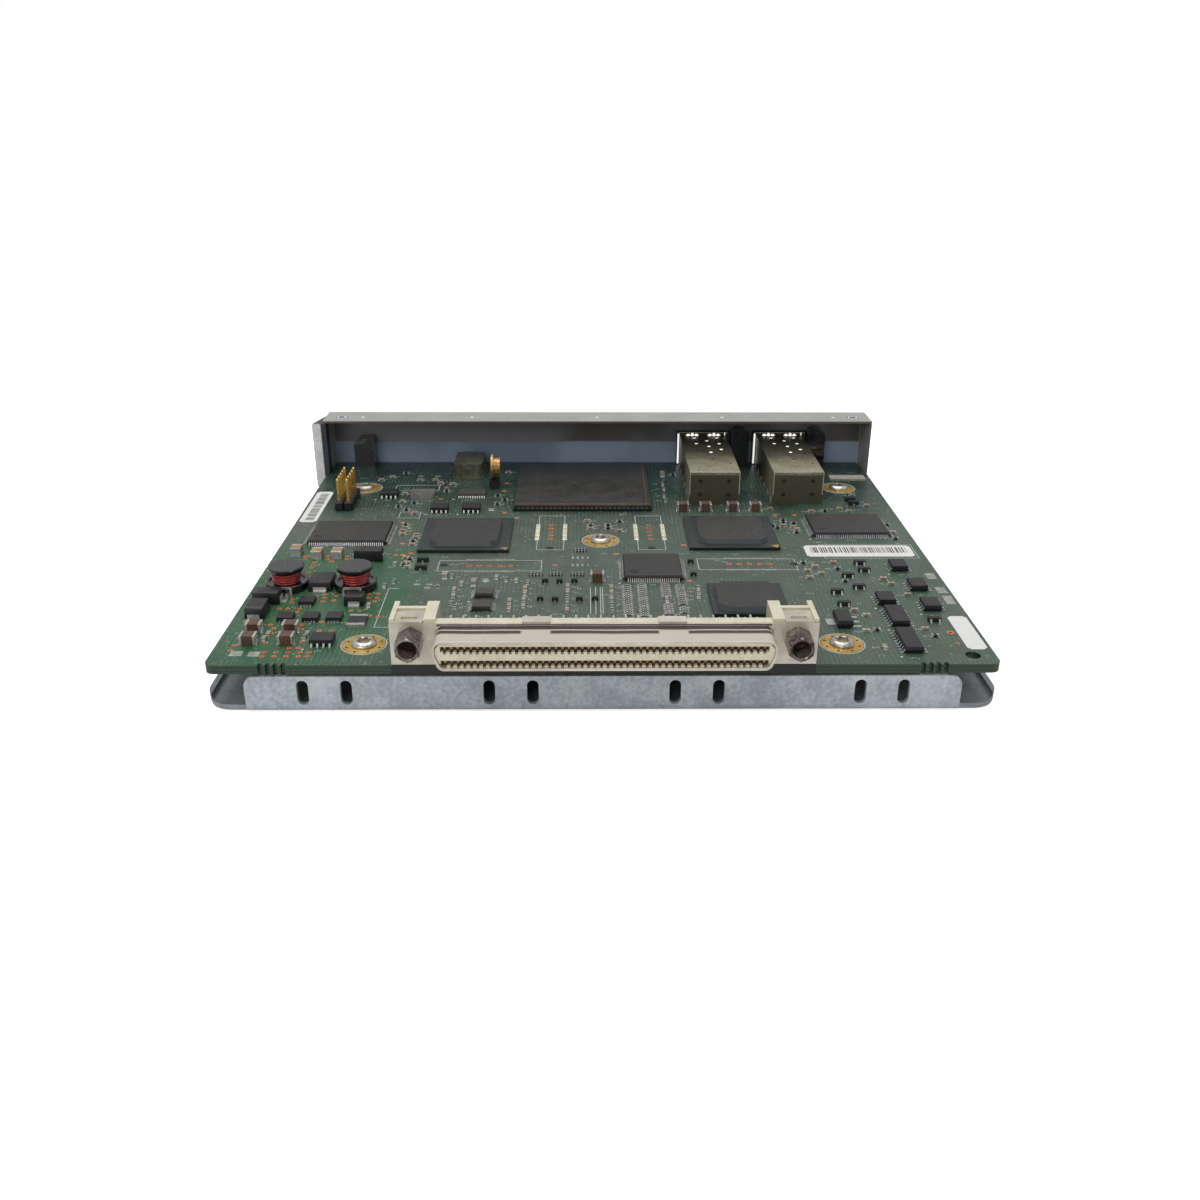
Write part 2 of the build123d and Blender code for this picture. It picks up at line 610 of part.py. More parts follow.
def connector_housing():
    """The moulded body: a bar behind the plate, a nose with two toothed slots, and end blocks."""
    y_front = PLATE_BACK + BODY_GAP
    height = SHELL_TOP - SHELL_LOW
    body = block(0, y_front + BODY_T / 2, TOP + SHELL_LOW, 2 * SHELL_HALF_W, BODY_T, height)
    tip = NOSE_FRONT + NOSE_RECESS
    body += nose_solid(SHELL_T + NOSE_CLEARANCE, tip, y_front + BODY_T / 2, rounded=False)
    for z in slot_centres():
        body -= block(0, tip, TOP + z - SLOT_H / 2, SLOT_W, 2 * SLOT_DEPTH, SLOT_H)
        for x in position_places():
            pocket_z = TOP + z - SLOT_H / 2 - TOOTH_POCKET_H
            body -= block(x, tip, pocket_z, TOOTH_POCKET_W, 2 * TOOTH_POCKET_D, TOOTH_POCKET_H)
    for side in (-1, 1):
        x = side * (SHELL_HALF_W - BLOCK_W / 2)
        end = block(x, y_front + BLOCK_D / 2, TOP, BLOCK_W, BLOCK_D, SHELL_TOP + BLOCK_RIDGE)
        groove_l = EAR_L + BODY_GAP
        end -= block(side * EAR_X, y_front + groove_l / 2, TOP + SHELL_TOP, EAR_W + 2 * BODY_GAP,
                     groove_l, 2 * BLOCK_RIDGE)
        end -= block(side * EAR_X, y_front + BLOCK_D, TOP + SHELL_TOP - BLOCK_HOLLOW_D, EAR_W,
                     2 * BLOCK_HOLLOW_L, 2 * BLOCK_HOLLOW_D)
        body += end
    return body


def contact_spring():
    """One contact: a wedge that slopes from the slot's back wall towards its middle."""
    back = NOSE_FRONT + NOSE_RECESS + SLOT_DEPTH
    tip = NOSE_FRONT + NOSE_RECESS + CONTACT_TIP_BACK
    roof = SLOT_H / 2 - CONTACT_LIFT
    points = [(back, roof), (back, roof - CONTACT_T), (tip, roof - CONTACT_DIP)]
    face = Plane.YZ * make_face(Polyline(*points, close=True))
    return extrude(face, CONTACT_W / 2, both=True)


def contact_row(slot_z):
    """All contacts of one slot."""
    spring = contact_spring()
    return joined(Pos(x, 0, TOP + slot_z) * spring for x in position_places())


def tail(reach):
    """One tail that slopes from the back of the body down to the board."""
    back = PLATE_BACK + BODY_GAP + BODY_T
    points = [(0, TAIL_UPPER_Z), (reach, 0), (0, TAIL_UPPER_Z - TAIL_DROP)]
    face = Plane.YZ * make_face(Polyline(*points, close=True))
    return Pos(0, back, TOP) * extrude(face, TAIL_W / 2, both=True)


def connector_tails():
    """Solder tails of the upper contacts, alternately long and short."""
    tails = [tail(reach) for reach in TAIL_REACH]
    return joined(Pos(x, 0, 0) * tails[i % len(tails)] for i, x in enumerate(position_places()))


def guide_sockets():
    """Hexagonal posts on the flange plate, with a round chamfered bore."""
    hexagon = RegularPolygon(POST_FLATS / 2, 6, major_radius=False, rotation=30)
    post = Plane.XZ * hexagon
    post = extrude(post, POST_L)
    bore = Pos(0, 0, POST_L - POST_BORE_L) * Cylinder(POST_BORE_R, POST_BORE_L, align=SEAT)
    cone = Cone(POST_BORE_R, POST_BORE_R + POST_MOUTH, POST_MOUTH, align=SEAT)
    mouth = Pos(0, 0, POST_L - POST_MOUTH) * cone
    turn = Rot(QUARTER_TURN, 0, 0)
    post = post - turn * bore - turn * mouth
    return joined(Pos(side * POST_X, PLATE_FRONT, TOP + POST_Z) * post for side in (-1, 1))


def moulded_body(x, y, w, d, h, gap=LEAD_GAP):
    """A moulded package with drafted sides, parted at its middle height."""
    sketch = Rectangle(w, d)
    body = extrude(sketch, h / 2, both=True, taper=MOULD_DRAFT)
    return Pos(x, y, TOP + gap + h / 2) * body


def drafted_block(x, y, w, d, h):
    """A moulded block that stands on the board and narrows towards its top."""
    return Pos(x, y, TOP) * extrude(Rectangle(w, d), h, taper=BLOCK_DRAFT)


def framer_base():
    x, y = FRAMER_AT
    return block(x, y, TOP + BALL_GAP, FRAMER_SIZE, FRAMER_SIZE, FRAMER_BASE_T)


def framer_lid():
    """The flat metal lid, slightly smaller than its substrate."""
    x, y = FRAMER_AT
    size = FRAMER_SIZE - 2 * FRAMER_LID_IN
    return block(x, y, TOP + BALL_GAP + FRAMER_BASE_T, size, size, FRAMER_LID_T)


def grid_chip_bases():
    return joined(block(x, y, TOP + BALL_GAP, size, size, GRID_BASE_T) for x, y, size, _ in GRID_CHIPS)


def grid_chip_moulds():
    """Low moulded caps with cut corners and drafted sides."""
    moulds = []
    for x, y, _, mould in GRID_CHIPS:
        plan = Rectangle(mould, mould)
        plan = chamfer(plan.vertices(), GRID_CORNER)
        cap = extrude(plan, GRID_MOULD_T, taper=2 * MOULD_DRAFT)
        moulds.append(Pos(x, y, TOP + BALL_GAP + GRID_BASE_T) * cap)
    return joined(moulds)


def flat_packs():
    return joined(moulded_body(x, y, w, d, FLAT_PACK_H) for x, y, w, d in FLAT_PACKS)


def small_outline_packs():
    """Eight, fourteen and sixteen lead packages."""
    packs = [moulded_body(x, y, SO8[0], SO8[1], SMALL_IC_H) for x, y in SO8_ALONG_X]
    packs += [moulded_body(x, y, SO8[1], SO8[0], SMALL_IC_H) for x, y in SO8_ALONG_Y]
    packs.append(moulded_body(*SO14_AT, *SO14, SMALL_IC_H))
    packs.append(moulded_body(*SO16_AT, *SO16, SMALL_IC_H))
    return joined(packs)


def thin_packs():
    """The thin wide package and the two flat grey ones."""
    packs = [moulded_body(*THIN_PACK_AT, *THIN_PACK, THIN_PACK_H)]
    packs += [moulded_body(x, y, *GREY_PACK) for x, y in GREY_PACKS]
    return joined(packs)


def small_transistors():
    return joined(drafted_block(x, y, *TRANSISTOR) for x, y in TRANSISTORS)


def regulator_body():
    return moulded_body(*REGULATOR_AT, *REGULATOR, gap=REGULATOR_TAB[2])


def regulator_leads():
    """The cooling tab on one side and three leads on the other."""
    x, y = REGULATOR_AT
    half = REGULATOR[0] / 2
    pieces = [block(x - half - REGULATOR_TAB[0] / 2 + BODY_GAP, y, TOP, *REGULATOR_TAB)]
    for i in (-1, 0, 1):
        lead_x = x + half + REGULATOR_LEAD[0] / 2 - BODY_GAP
        pieces.append(block(lead_x, y + i * REGULATOR_LEAD_PITCH, TOP, *REGULATOR_LEAD))
    return joined(pieces)


def crystal():
    x, y = CRYSTAL_AT
    body = block(x, y, TOP, *CRYSTAL)
    return chamfer(body.edges().filter_by(Axis.Z), CAN_CORNER / 2)


def oscillator_can():
    """A tall plated can with rounded corners, on a slightly wider foot."""
    x, y = CAN_AT
    foot = block(x, y, TOP, CAN[0] + 2 * CAN_FOOT_OUT, CAN[1] + 2 * CAN_FOOT_OUT, CAN_FOOT_T)
    can = block(x, y, TOP + CAN_FOOT_T, *CAN)
    can = chamfer(can.edges().filter_by(Axis.Z), CAN_CORNER)
    return chamfer(foot.edges().filter_by(Axis.Z), CAN_CORNER) + can


def disc_socket():
    x, y = DISC_AT
    return block(x, y, TOP, *DISC_SOCKET)


def upright_disc():
    """A plated disc and its darker body standing on edge in the socket."""
    x, y = DISC_AT
    z = TOP + DISC_SOCKET[2] + DISC_PLATE_R
    turn = Rot(0, QUARTER_TURN, 0)
    plate_x = x - DISC_SOCKET[0] / 2 + DISC_PLATE_T
    plate = Pos(plate_x, y, z) * turn * prism(0, 0, 0, DISC_PLATE_R, DISC_PLATE_T)
    body = Pos(plate_x + DISC_PLATE_T, y, z) * turn * prism(0, 0, 0, DISC_BODY_R, DISC_BODY_T)
    return joined([plate, body])


def header_places():
    """Centre of every header pin."""
    x, y = HEADER_AT
    places = []
    for row in range(HEADER_ROWS):
        for column in range(HEADER_COLUMNS):
            places.append((x + (column - (HEADER_COLUMNS - 1) / 2) * HEADER_PITCH,
                           y + (row - (HEADER_ROWS - 1) / 2) * HEADER_PITCH))
    return places


def header_base():
    """The plastic strip that holds the header's pins."""
    x, y = HEADER_AT
    return block(x, y, TOP, HEADER_COLUMNS * HEADER_PITCH, HEADER_ROWS * HEADER_PITCH, HEADER_H)


def header_pins():
    length = HEADER_PIN_TOP - HEADER_H
    return joined(block(x, y, TOP + HEADER_H, HEADER_PIN, HEADER_PIN, length) for x, y in header_places())


def inductor_bases():
    """Shallow round cups that carry the drum cores."""
    cups = []
    for x, y in INDUCTORS:
        cup = prism(x, y, TOP, INDUCTOR_BASE_R, INDUCTOR_BASE_H)
        hollow_r = INDUCTOR_BASE_R - INDUCTOR_CUP_WALL
        cups.append(cup - prism(x, y, TOP + INDUCTOR_CUP_FLOOR, hollow_r, INDUCTOR_BASE_H))
    return joined(cups)


def inductor_cores():
    """Drum cores: a post with a wide round top."""
    floor = TOP + INDUCTOR_CUP_FLOOR
    top_z = TOP + INDUCTOR_H - INDUCTOR_TOP_T
    cores = []
    for x, y in INDUCTORS:
        top = prism(x, y, top_z, INDUCTOR_TOP_R, INDUCTOR_TOP_T)
        cores.append(top + prism(x, y, floor, INDUCTOR_POST_R, top_z - floor))
    return joined(cores)


def inductor_windings():
    """The wound wire as one sleeve round each post."""
    low = TOP + INDUCTOR_CUP_FLOOR
    height = INDUCTOR_H - INDUCTOR_TOP_T - INDUCTOR_CUP_FLOOR
    sleeve = prism(0, 0, low, INDUCTOR_COIL_R, height) - prism(0, 0, low, INDUCTOR_POST_R, height)
    return joined(Pos(x, y, 0) * sleeve for x, y in INDUCTORS)


def inductor_clips():
    """U-shaped solder clips on the front and back of each base."""
    w, d, h = INDUCTOR_CLIP
    clip = block(0, 0, TOP, w, d, h)
    clip -= block(0, 0, TOP, w - 2 * INDUCTOR_CLIP_WIRE, d, h - INDUCTOR_CLIP_WIRE)
    clip = chamfer(clip.edges().filter_by(Axis.Y).group_by(Axis.Z)[-1], INDUCTOR_CLIP_WIRE)
    offset_y = INDUCTOR_BASE_R + d / 2
    return joined(Pos(x, y + side * offset_y, 0) * clip for x, y in INDUCTORS for side in (-1, 1))


def tantalum_capacitors():
    return joined(drafted_block(x, y, w, d, TANTALUM_H) for x, y, w, d in TANTALUMS)


def power_diodes():
    return joined(drafted_block(x, y, w, d, DIODE_H) for x, y, w, d in DIODES)


def power_switches():
    return joined(block(x, y, TOP, *SWITCH) for x, y in SWITCHES)


def sense_resistor():
    return block(*SENSE_AT, TOP, *SENSE)


def chip_capacitor_body(x, y, h, along_x):
    """A ceramic block between its two metal ends."""
    length = CHIP_CAP_LONG - 2 * CHIP_CAP_END
    size = (length, CHIP_CAP_WIDE) if along_x else (CHIP_CAP_WIDE, length)
    return block(x, y, TOP + CHIP_CAP_LIP, *size, h)


def chip_capacitor_ends(x, y, h, along_x):
    """The two plated ends, a little proud of the ceramic."""
    wide = CHIP_CAP_WIDE + 2 * CHIP_CAP_LIP
    offset = (CHIP_CAP_LONG - CHIP_CAP_END) / 2
    size = (CHIP_CAP_END, wide) if along_x else (wide, CHIP_CAP_END)
    step = (offset, 0) if along_x else (0, offset)
    return [block(x + s * step[0], y + s * step[1], TOP, *size, h + 2 * CHIP_CAP_LIP) for s in (-1, 1)]


def tan_capacitors():
    return joined(chip_capacitor_body(x, y, TAN_CAP_H, False) for x, y in TAN_CAPS)


def brown_capacitors():
    return joined(chip_capacitor_body(x, y, BROWN_CAP_H, True) for x, y in BROWN_CAPS)


def capacitor_ends():
    ends = []
    for x, y in TAN_CAPS:
        ends += chip_capacitor_ends(x, y, TAN_CAP_H, False)
    for x, y in BROWN_CAPS:
        ends += chip_capacitor_ends(x, y, BROWN_CAP_H, True)
    return joined(ends)


def board_labels():
    """Plain stuck-on labels with rounded corners."""
    labels = []
    for x, y, w, d in LABELS:
        sheet = Rectangle(w, d)
        sheet = chamfer(sheet.vertices(), LABEL_CORNER)
        labels.append(Pos(x, y, TOP) * extrude(sheet, LABEL_T))
    return joined(labels)


def gasket_strip():
    return block(*GASKET_AT, TOP, *GASKET)


def cage_at(x):
    return Pos(x, 0, 0) * module_cage()


PARTS = {
    "carrier_tray": carrier_tray,
    "tray_standoffs": standoffs,
    "board_screws": board_screws,
    "faceplate": faceplate,
    "pull_handle": pull_handle,
    "grounding_spring_strip": spring_strip,
    "circuit_board": circuit_board,
    "module_cage_left": lambda: cage_at(CAGE_X[0]),
    "module_cage_right": lambda: cage_at(CAGE_X[1]),
    "module_cage_floors": cage_floors,
    "module_cage_fingers": cage_fingers,
    "module_host_sockets": host_connectors,
    "port_lamp_housings": port_lamps,
    "side_lamp_housing": side_lamp,
    "lamp_lenses": lamp_lenses,
    "rear_connector_shell": connector_shell,
    "rear_connector_housing": connector_housing,
    "rear_connector_lower_contacts": lambda: contact_row(slot_centres()[0]),
    "rear_connector_upper_contacts": lambda: contact_row(slot_centres()[1]),
    "rear_connector_tails": connector_tails,
    "guide_sockets": guide_sockets,
    "framer_chip_base": framer_base,
    "framer_chip_lid": framer_lid,
    "grid_chip_bases": grid_chip_bases,
    "grid_chip_moulds": grid_chip_moulds,
    "quad_flat_packs": flat_packs,
    "small_outline_packs": small_outline_packs,
    "thin_packs": thin_packs,
    "small_transistors": small_transistors,
    "regulator_body": regulator_body,
    "regulator_leads": regulator_leads,
    "crystal": crystal,
    "oscillator_can": oscillator_can,
    "upright_disc_socket": disc_socket,
    "upright_disc": upright_disc,
    "pin_header_base": header_base,
    "pin_header_pins": header_pins,
    "inductor_bases": inductor_bases,
    "inductor_cores": inductor_cores,
    "inductor_windings": inductor_windings,
    "inductor_clips": inductor_clips,
    "tantalum_capacitors": tantalum_capacitors,
    "power_diodes": power_diodes,
    "power_switches": power_switches,
    "sense_resistor": sense_resistor,
    "tan_capacitor_bodies": tan_capacitors,
    "brown_capacitor_bodies": brown_capacitors,
    "capacitor_end_caps": capacitor_ends,
    "board_labels": board_labels,
    "gasket_strip": gasket_strip,
}

os.makedirs("parts", exist_ok=True)
for node, make in PARTS.items():
    export_step(make(), f"parts/{node}.step")
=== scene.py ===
import logging
import math
import random
from dataclasses import dataclass
from enum import Enum

import bmesh
import bpy
from mathutils import Matrix, Vector


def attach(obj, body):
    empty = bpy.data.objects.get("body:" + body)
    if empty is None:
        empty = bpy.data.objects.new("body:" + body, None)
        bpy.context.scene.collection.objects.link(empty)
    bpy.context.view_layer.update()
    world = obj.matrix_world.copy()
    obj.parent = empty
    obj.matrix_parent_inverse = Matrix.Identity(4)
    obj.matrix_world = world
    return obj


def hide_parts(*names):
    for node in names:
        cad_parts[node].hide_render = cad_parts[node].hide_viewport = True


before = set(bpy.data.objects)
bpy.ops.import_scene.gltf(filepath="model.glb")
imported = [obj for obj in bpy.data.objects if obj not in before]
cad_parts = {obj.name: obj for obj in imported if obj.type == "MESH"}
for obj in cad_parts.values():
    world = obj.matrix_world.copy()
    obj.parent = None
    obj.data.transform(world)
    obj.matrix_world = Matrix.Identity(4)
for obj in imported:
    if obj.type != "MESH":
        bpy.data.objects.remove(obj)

LOG = logging.getLogger("port_adapter_card")
Point = tuple[float, float]
Triple = tuple[float, float, float]
Box = tuple[float, float, float, float]
Stop = tuple[float, Triple]
Socket = bpy.types.NodeSocket
Node = bpy.types.Node

# Places and sizes are in millimetres until a finished piece is scaled by MM.
MM = 0.001
# The board's upper face and its rear edge.
TOP = 11.0
REAR = -67.7
# The front face of the rear connector's plate, and the axes of its two threaded sockets.
PLATE_FRONT = -67.8
SOCKET_X = 38.7
SOCKET_Z = 17.0
# How deep a pad or a print starts below the face that it lies on.
SINK = 0.03
PRINT_SINK = 0.005
# The five screws through the board, the standoffs and the tray.
SCREW_PLACES = ((0.1, 1.2), (-50.1, -58.3), (50.1, -58.3), (-67.3, 42.9), (69.6, 42.9))


def tint(red: int, green: int, blue: int) -> Triple:
    """Gives the linear colour of three display values from 0 to 255."""
    parts = [c / 255 for c in (red, green, blue)]
    return tuple(c / 12.92 if c < 0.04045 else ((c + 0.055) / 1.055) ** 2.4 for c in parts)


class Side(Enum):
    """The side of a package that a row of leads leaves from, as a turn about Z in degrees."""

    FAR = 0.0
    LEFT = 90.0
    NEAR = 180.0
    RIGHT = 270.0


class Graph:
    """The node tree of one material or group, with short calls that add and join nodes."""

    def __init__(self, tree: bpy.types.NodeTree) -> None:
        """Keeps the tree and empties it.

        Args:
            tree: the node tree that is filled.
        """
        self.tree = tree
        self.tree.nodes.clear()

    def add(self, kind: str, **settings: object) -> Node:
        """Adds a node.

        Args:
            kind: the node's type name.
            settings: its properties.

        Returns:
            The new node.
        """
        node = self.tree.nodes.new(kind)
        for key, value in settings.items():
            setattr(node, key, value)
        return node

    def feed(self, target: Socket, value: object) -> None:
        """Joins a socket to another, or sets its own value.

        Args:
            target: the socket that is fed.
            value: a socket, a number or a colour.
        """
        if isinstance(value, bpy.types.NodeSocket):
            self.tree.links.new(value, target)
        elif isinstance(value, tuple) and target.type == "RGBA":
            target.default_value = (*value, 1.0)
        else:
            target.default_value = value

    def math(self, operation: str, first: object, second: object = 0.0, third: object = 0.0) -> Socket:
        """Adds a Math node.

        Args:
            operation: its operation.
            first: the first input.
            second: the second input.
            third: the third input, where there is one.

        Returns:
            Its value.
        """
        node = self.add("ShaderNodeMath", operation=operation)
        for socket, value in zip(node.inputs, (first, second, third)):
            self.feed(socket, value)
        return node.outputs[0]

    def mix(self, factor: object, first: object, second: object) -> Socket:
        """Mixes two colours.

        Args:
            factor: 0 gives the first colour and 1 the second.
            first: the first colour.
            second: the second colour.

        Returns:
            The mixed colour.
        """
        node = self.add("ShaderNodeMix", data_type="RGBA")
        self.feed(node.inputs["Factor"], factor)
        self.feed(node.inputs[6], first)
        self.feed(node.inputs[7], second)
        return node.outputs[2]

    def span(self, value: object, low: float, high: float, start: float = 0.0, end: float = 1.0) -> Socket:
        """Maps a value smoothly from one range to another.

        Args:
            value: the value.
            low: where the first range starts.
            high: where it ends.
            start: the result at low.
            end: the result at high.

        Returns:
            The mapped value.
        """
        node = self.add("ShaderNodeMapRange", interpolation_type="SMOOTHSTEP")
        for socket, part in zip(node.inputs, (value, low, high, start, end)):
            self.feed(socket, part)
        return node.outputs[0]

    def ramp(self, value: object, stops: list[Stop]) -> Socket:
        """Turns a value from 0 to 1 into a colour.

        Args:
            value: the value.
            stops: the place and colour of each stop.

        Returns:
            The colour.
        """
        node = self.add("ShaderNodeValToRGB")
        scale = node.color_ramp
        while len(scale.elements) < len(stops):
            scale.elements.new(1.0)
        for element, (at, colour) in zip(scale.elements, stops):
            element.position = at
            element.color = (*colour, 1.0)
        self.feed(node.inputs[0], value)
        return node.outputs["Color"]

    def inside(self, value: Socket, low: float, high: float) -> Socket:
        """Gives 1 where a value lies between two limits.

        Args:
            value: the value.
            low: the lower limit.
            high: the upper limit.

        Returns:
            The mask.
        """
        above = self.math("GREATER_THAN", value, low)
        return self.math("MULTIPLY", above, self.math("LESS_THAN", value, high))

    def reach(self, across: Socket, along: Socket) -> Socket:
        """Gives the distance that two offsets at right angles make.

        Args:
            across: the first offset.
            along: the second offset.

        Returns:
            The distance.
        """
        square = self.math("MULTIPLY", across, across)
        return self.math("SQRT", self.math("ADD", square, self.math("MULTIPLY", along, along)))

    def drift(self, value: Socket, cloud: Socket, amount_mm: float) -> Socket:
        """Shifts a value to and fro with a noise field.

        Args:
            value: the value.
            cloud: the noise, about 0.5 on average.
            amount_mm: the shift from one end of the noise to the other.

        Returns:
            The shifted value.
        """
        shift = self.math("MULTIPLY", self.math("SUBTRACT", cloud, 0.5), amount_mm * MM)
        return self.math("ADD", value, shift)

    def place(self) -> Socket:
        """Gives the object coordinates."""
        return self.add("ShaderNodeTexCoord").outputs["Object"]

    def axes(self, vector: Socket) -> tuple[Socket, Socket, Socket]:
        """Splits a vector.

        Args:
            vector: the vector.

        Returns:
            Its three parts.
        """
        node = self.add("ShaderNodeSeparateXYZ")
        self.feed(node.inputs[0], vector)
        return node.outputs[0], node.outputs[1], node.outputs[2]

    def facing(self) -> tuple[Socket, Socket, Socket]:
        """Gives the three parts of the surface's direction."""
        return self.axes(self.add("ShaderNodeNewGeometry").outputs["Normal"])

    def noise(self, vector: Socket, size_mm: float, detail: float = 3.0) -> Socket:
        """Adds a noise field.

        Args:
            vector: where it is read.
            size_mm: the size of its patches.
            detail: how many finer layers it has.

        Returns:
            Its value, about 0.5 on average.
        """
        node = self.add("ShaderNodeTexNoise")
        self.feed(node.inputs["Vector"], vector)
        node.inputs["Scale"].default_value = 1.0 / (size_mm * MM)
        node.inputs["Detail"].default_value = detail
        return node.outputs["Fac"]

    def cells(self, vector: Socket, size_mm: float, feature: str = "F1") -> Node:
        """Adds a cell pattern.

        Args:
            vector: where it is read.
            size_mm: the size of a cell.
            feature: which value it gives.

        Returns:
            The Voronoi node.
        """
        node = self.add("ShaderNodeTexVoronoi", feature=feature)
        self.feed(node.inputs["Vector"], vector)
        node.inputs["Scale"].default_value = 1.0 / (size_mm * MM)
        return node

    def group(self, tree: bpy.types.NodeTree, **values: object) -> Node:
        """Places a node group.

        Args:
            tree: the group.
            values: its inputs by name, with underscores for spaces.

        Returns:
            The group's node.
        """
        node = self.add("ShaderNodeGroup", node_tree=tree)
        for key, value in values.items():
            self.feed(node.inputs[key.replace("_", " ")], value)
        return node


class SharedEffects:
    """The node groups that several finishes use, each built once."""

    def __init__(self) -> None:
        """Builds the groups."""
        self.grain = self._grain()
        self.dust = self._dust()
        self.disc = self._disc()

    @staticmethod
    def _open(name: str, inputs: dict[str, str], outputs: dict[str, str]) -> tuple[Graph, Node, Node]:
        """Starts a group with named sockets.

        Args:
            name: the group's name.
            inputs: the type of each input by name.
            outputs: the type of each output by name.

        Returns:
            Its graph, its input node and its output node.
        """
        tree = bpy.data.node_groups.new(name, "ShaderNodeTree")
        for label, kind in inputs.items():
            tree.interface.new_socket(label, in_out="INPUT", socket_type=f"NodeSocket{kind}")
        for label, kind in outputs.items():
            tree.interface.new_socket(label, in_out="OUTPUT", socket_type=f"NodeSocket{kind}")
        graph = Graph(tree)
        return graph, graph.add("NodeGroupInput"), graph.add("NodeGroupOutput")

    def _grain(self) -> bpy.types.NodeTree:
        """Builds the fine grain that most finishes carry.

        Returns:
            The group, with a colour, a roughness and a height.
        """
        graph, given, result = self._open(
            "fine_grain",
            {"Vector": "Vector", "Scale": "Float", "Light": "Color", "Dark": "Color", "Rough": "Float",
             "Spread": "Float"},
            {"Colour": "Color", "Roughness": "Float", "Height": "Float"})
        fine = graph.add("ShaderNodeTexNoise")
        broad = graph.add("ShaderNodeTexNoise")
        for node, ratio in ((fine, 1.0), (broad, 0.13)):
            graph.feed(node.inputs["Vector"], given.outputs["Vector"])
            graph.feed(node.inputs["Scale"], graph.math("MULTIPLY", given.outputs["Scale"], ratio))
            node.inputs["Detail"].default_value = 4.0
        blend = graph.math("ADD", graph.math("MULTIPLY", fine.outputs["Fac"], 0.5),
                           graph.math("MULTIPLY", broad.outputs["Fac"], 0.5))
        factor = graph.span(blend, 0.36, 0.64)
        graph.feed(result.inputs["Colour"], graph.mix(factor, given.outputs["Dark"], given.outputs["Light"]))
        shift = graph.math("MULTIPLY", graph.math("SUBTRACT", blend, 0.5), given.outputs["Spread"])
        graph.feed(result.inputs["Roughness"], graph.math("ADD", given.outputs["Rough"], shift))
        graph.feed(result.inputs["Height"], fine.outputs["Fac"])
        return graph.tree

    def _dust(self) -> bpy.types.NodeTree:
        """Builds a thin dust that gathers on faces that look up.

        Returns:
            The group, with a mask.
        """
        graph, given, result = self._open("settled_dust", {"Vector": "Vector", "Amount": "Float"},
                                          {"Mask": "Float"})
        specks = graph.noise(given.outputs["Vector"], 0.7, 6.0)
        patches = graph.noise(given.outputs["Vector"], 9.0, 2.0)
        up = graph.math("MAXIMUM", graph.facing()[2], 0.0)
        mask = graph.math("MULTIPLY", graph.span(specks, 0.5, 0.75), graph.span(patches, 0.3, 0.7))
        mask = graph.math("MULTIPLY", mask, up)
        graph.feed(result.inputs["Mask"], graph.math("MULTIPLY", mask, given.outputs["Amount"]))
        return graph.tree

    def _disc(self) -> bpy.types.NodeTree:
        """Builds a round spot that is drawn on faces that look up.

        Returns:
            The group, with a mask and the distance from the centre.
        """
        graph, given, result = self._open(
            "round_spot", {"Vector": "Vector", "Centre X": "Float", "Centre Y": "Float", "Radius": "Float"},
            {"Mask": "Float", "Distance": "Float"})
        x, y, _ = graph.axes(given.outputs["Vector"])
        distance = graph.reach(graph.math("SUBTRACT", x, given.outputs["Centre X"]),
                               graph.math("SUBTRACT", y, given.outputs["Centre Y"]))
        near = graph.math("LESS_THAN", distance, given.outputs["Radius"])
        up = graph.span(graph.facing()[2], 0.5, 0.8)
        graph.feed(result.inputs["Mask"], graph.math("MULTIPLY", near, up))
        graph.feed(result.inputs["Distance"], distance)
        return graph.tree


EFFECTS = SharedEffects()
DUST_TINT = tint(150, 148, 140)
RELIEF_MM = 0.05
DAYLIGHT = (1.0, 1.0, 0.97, 1.0)


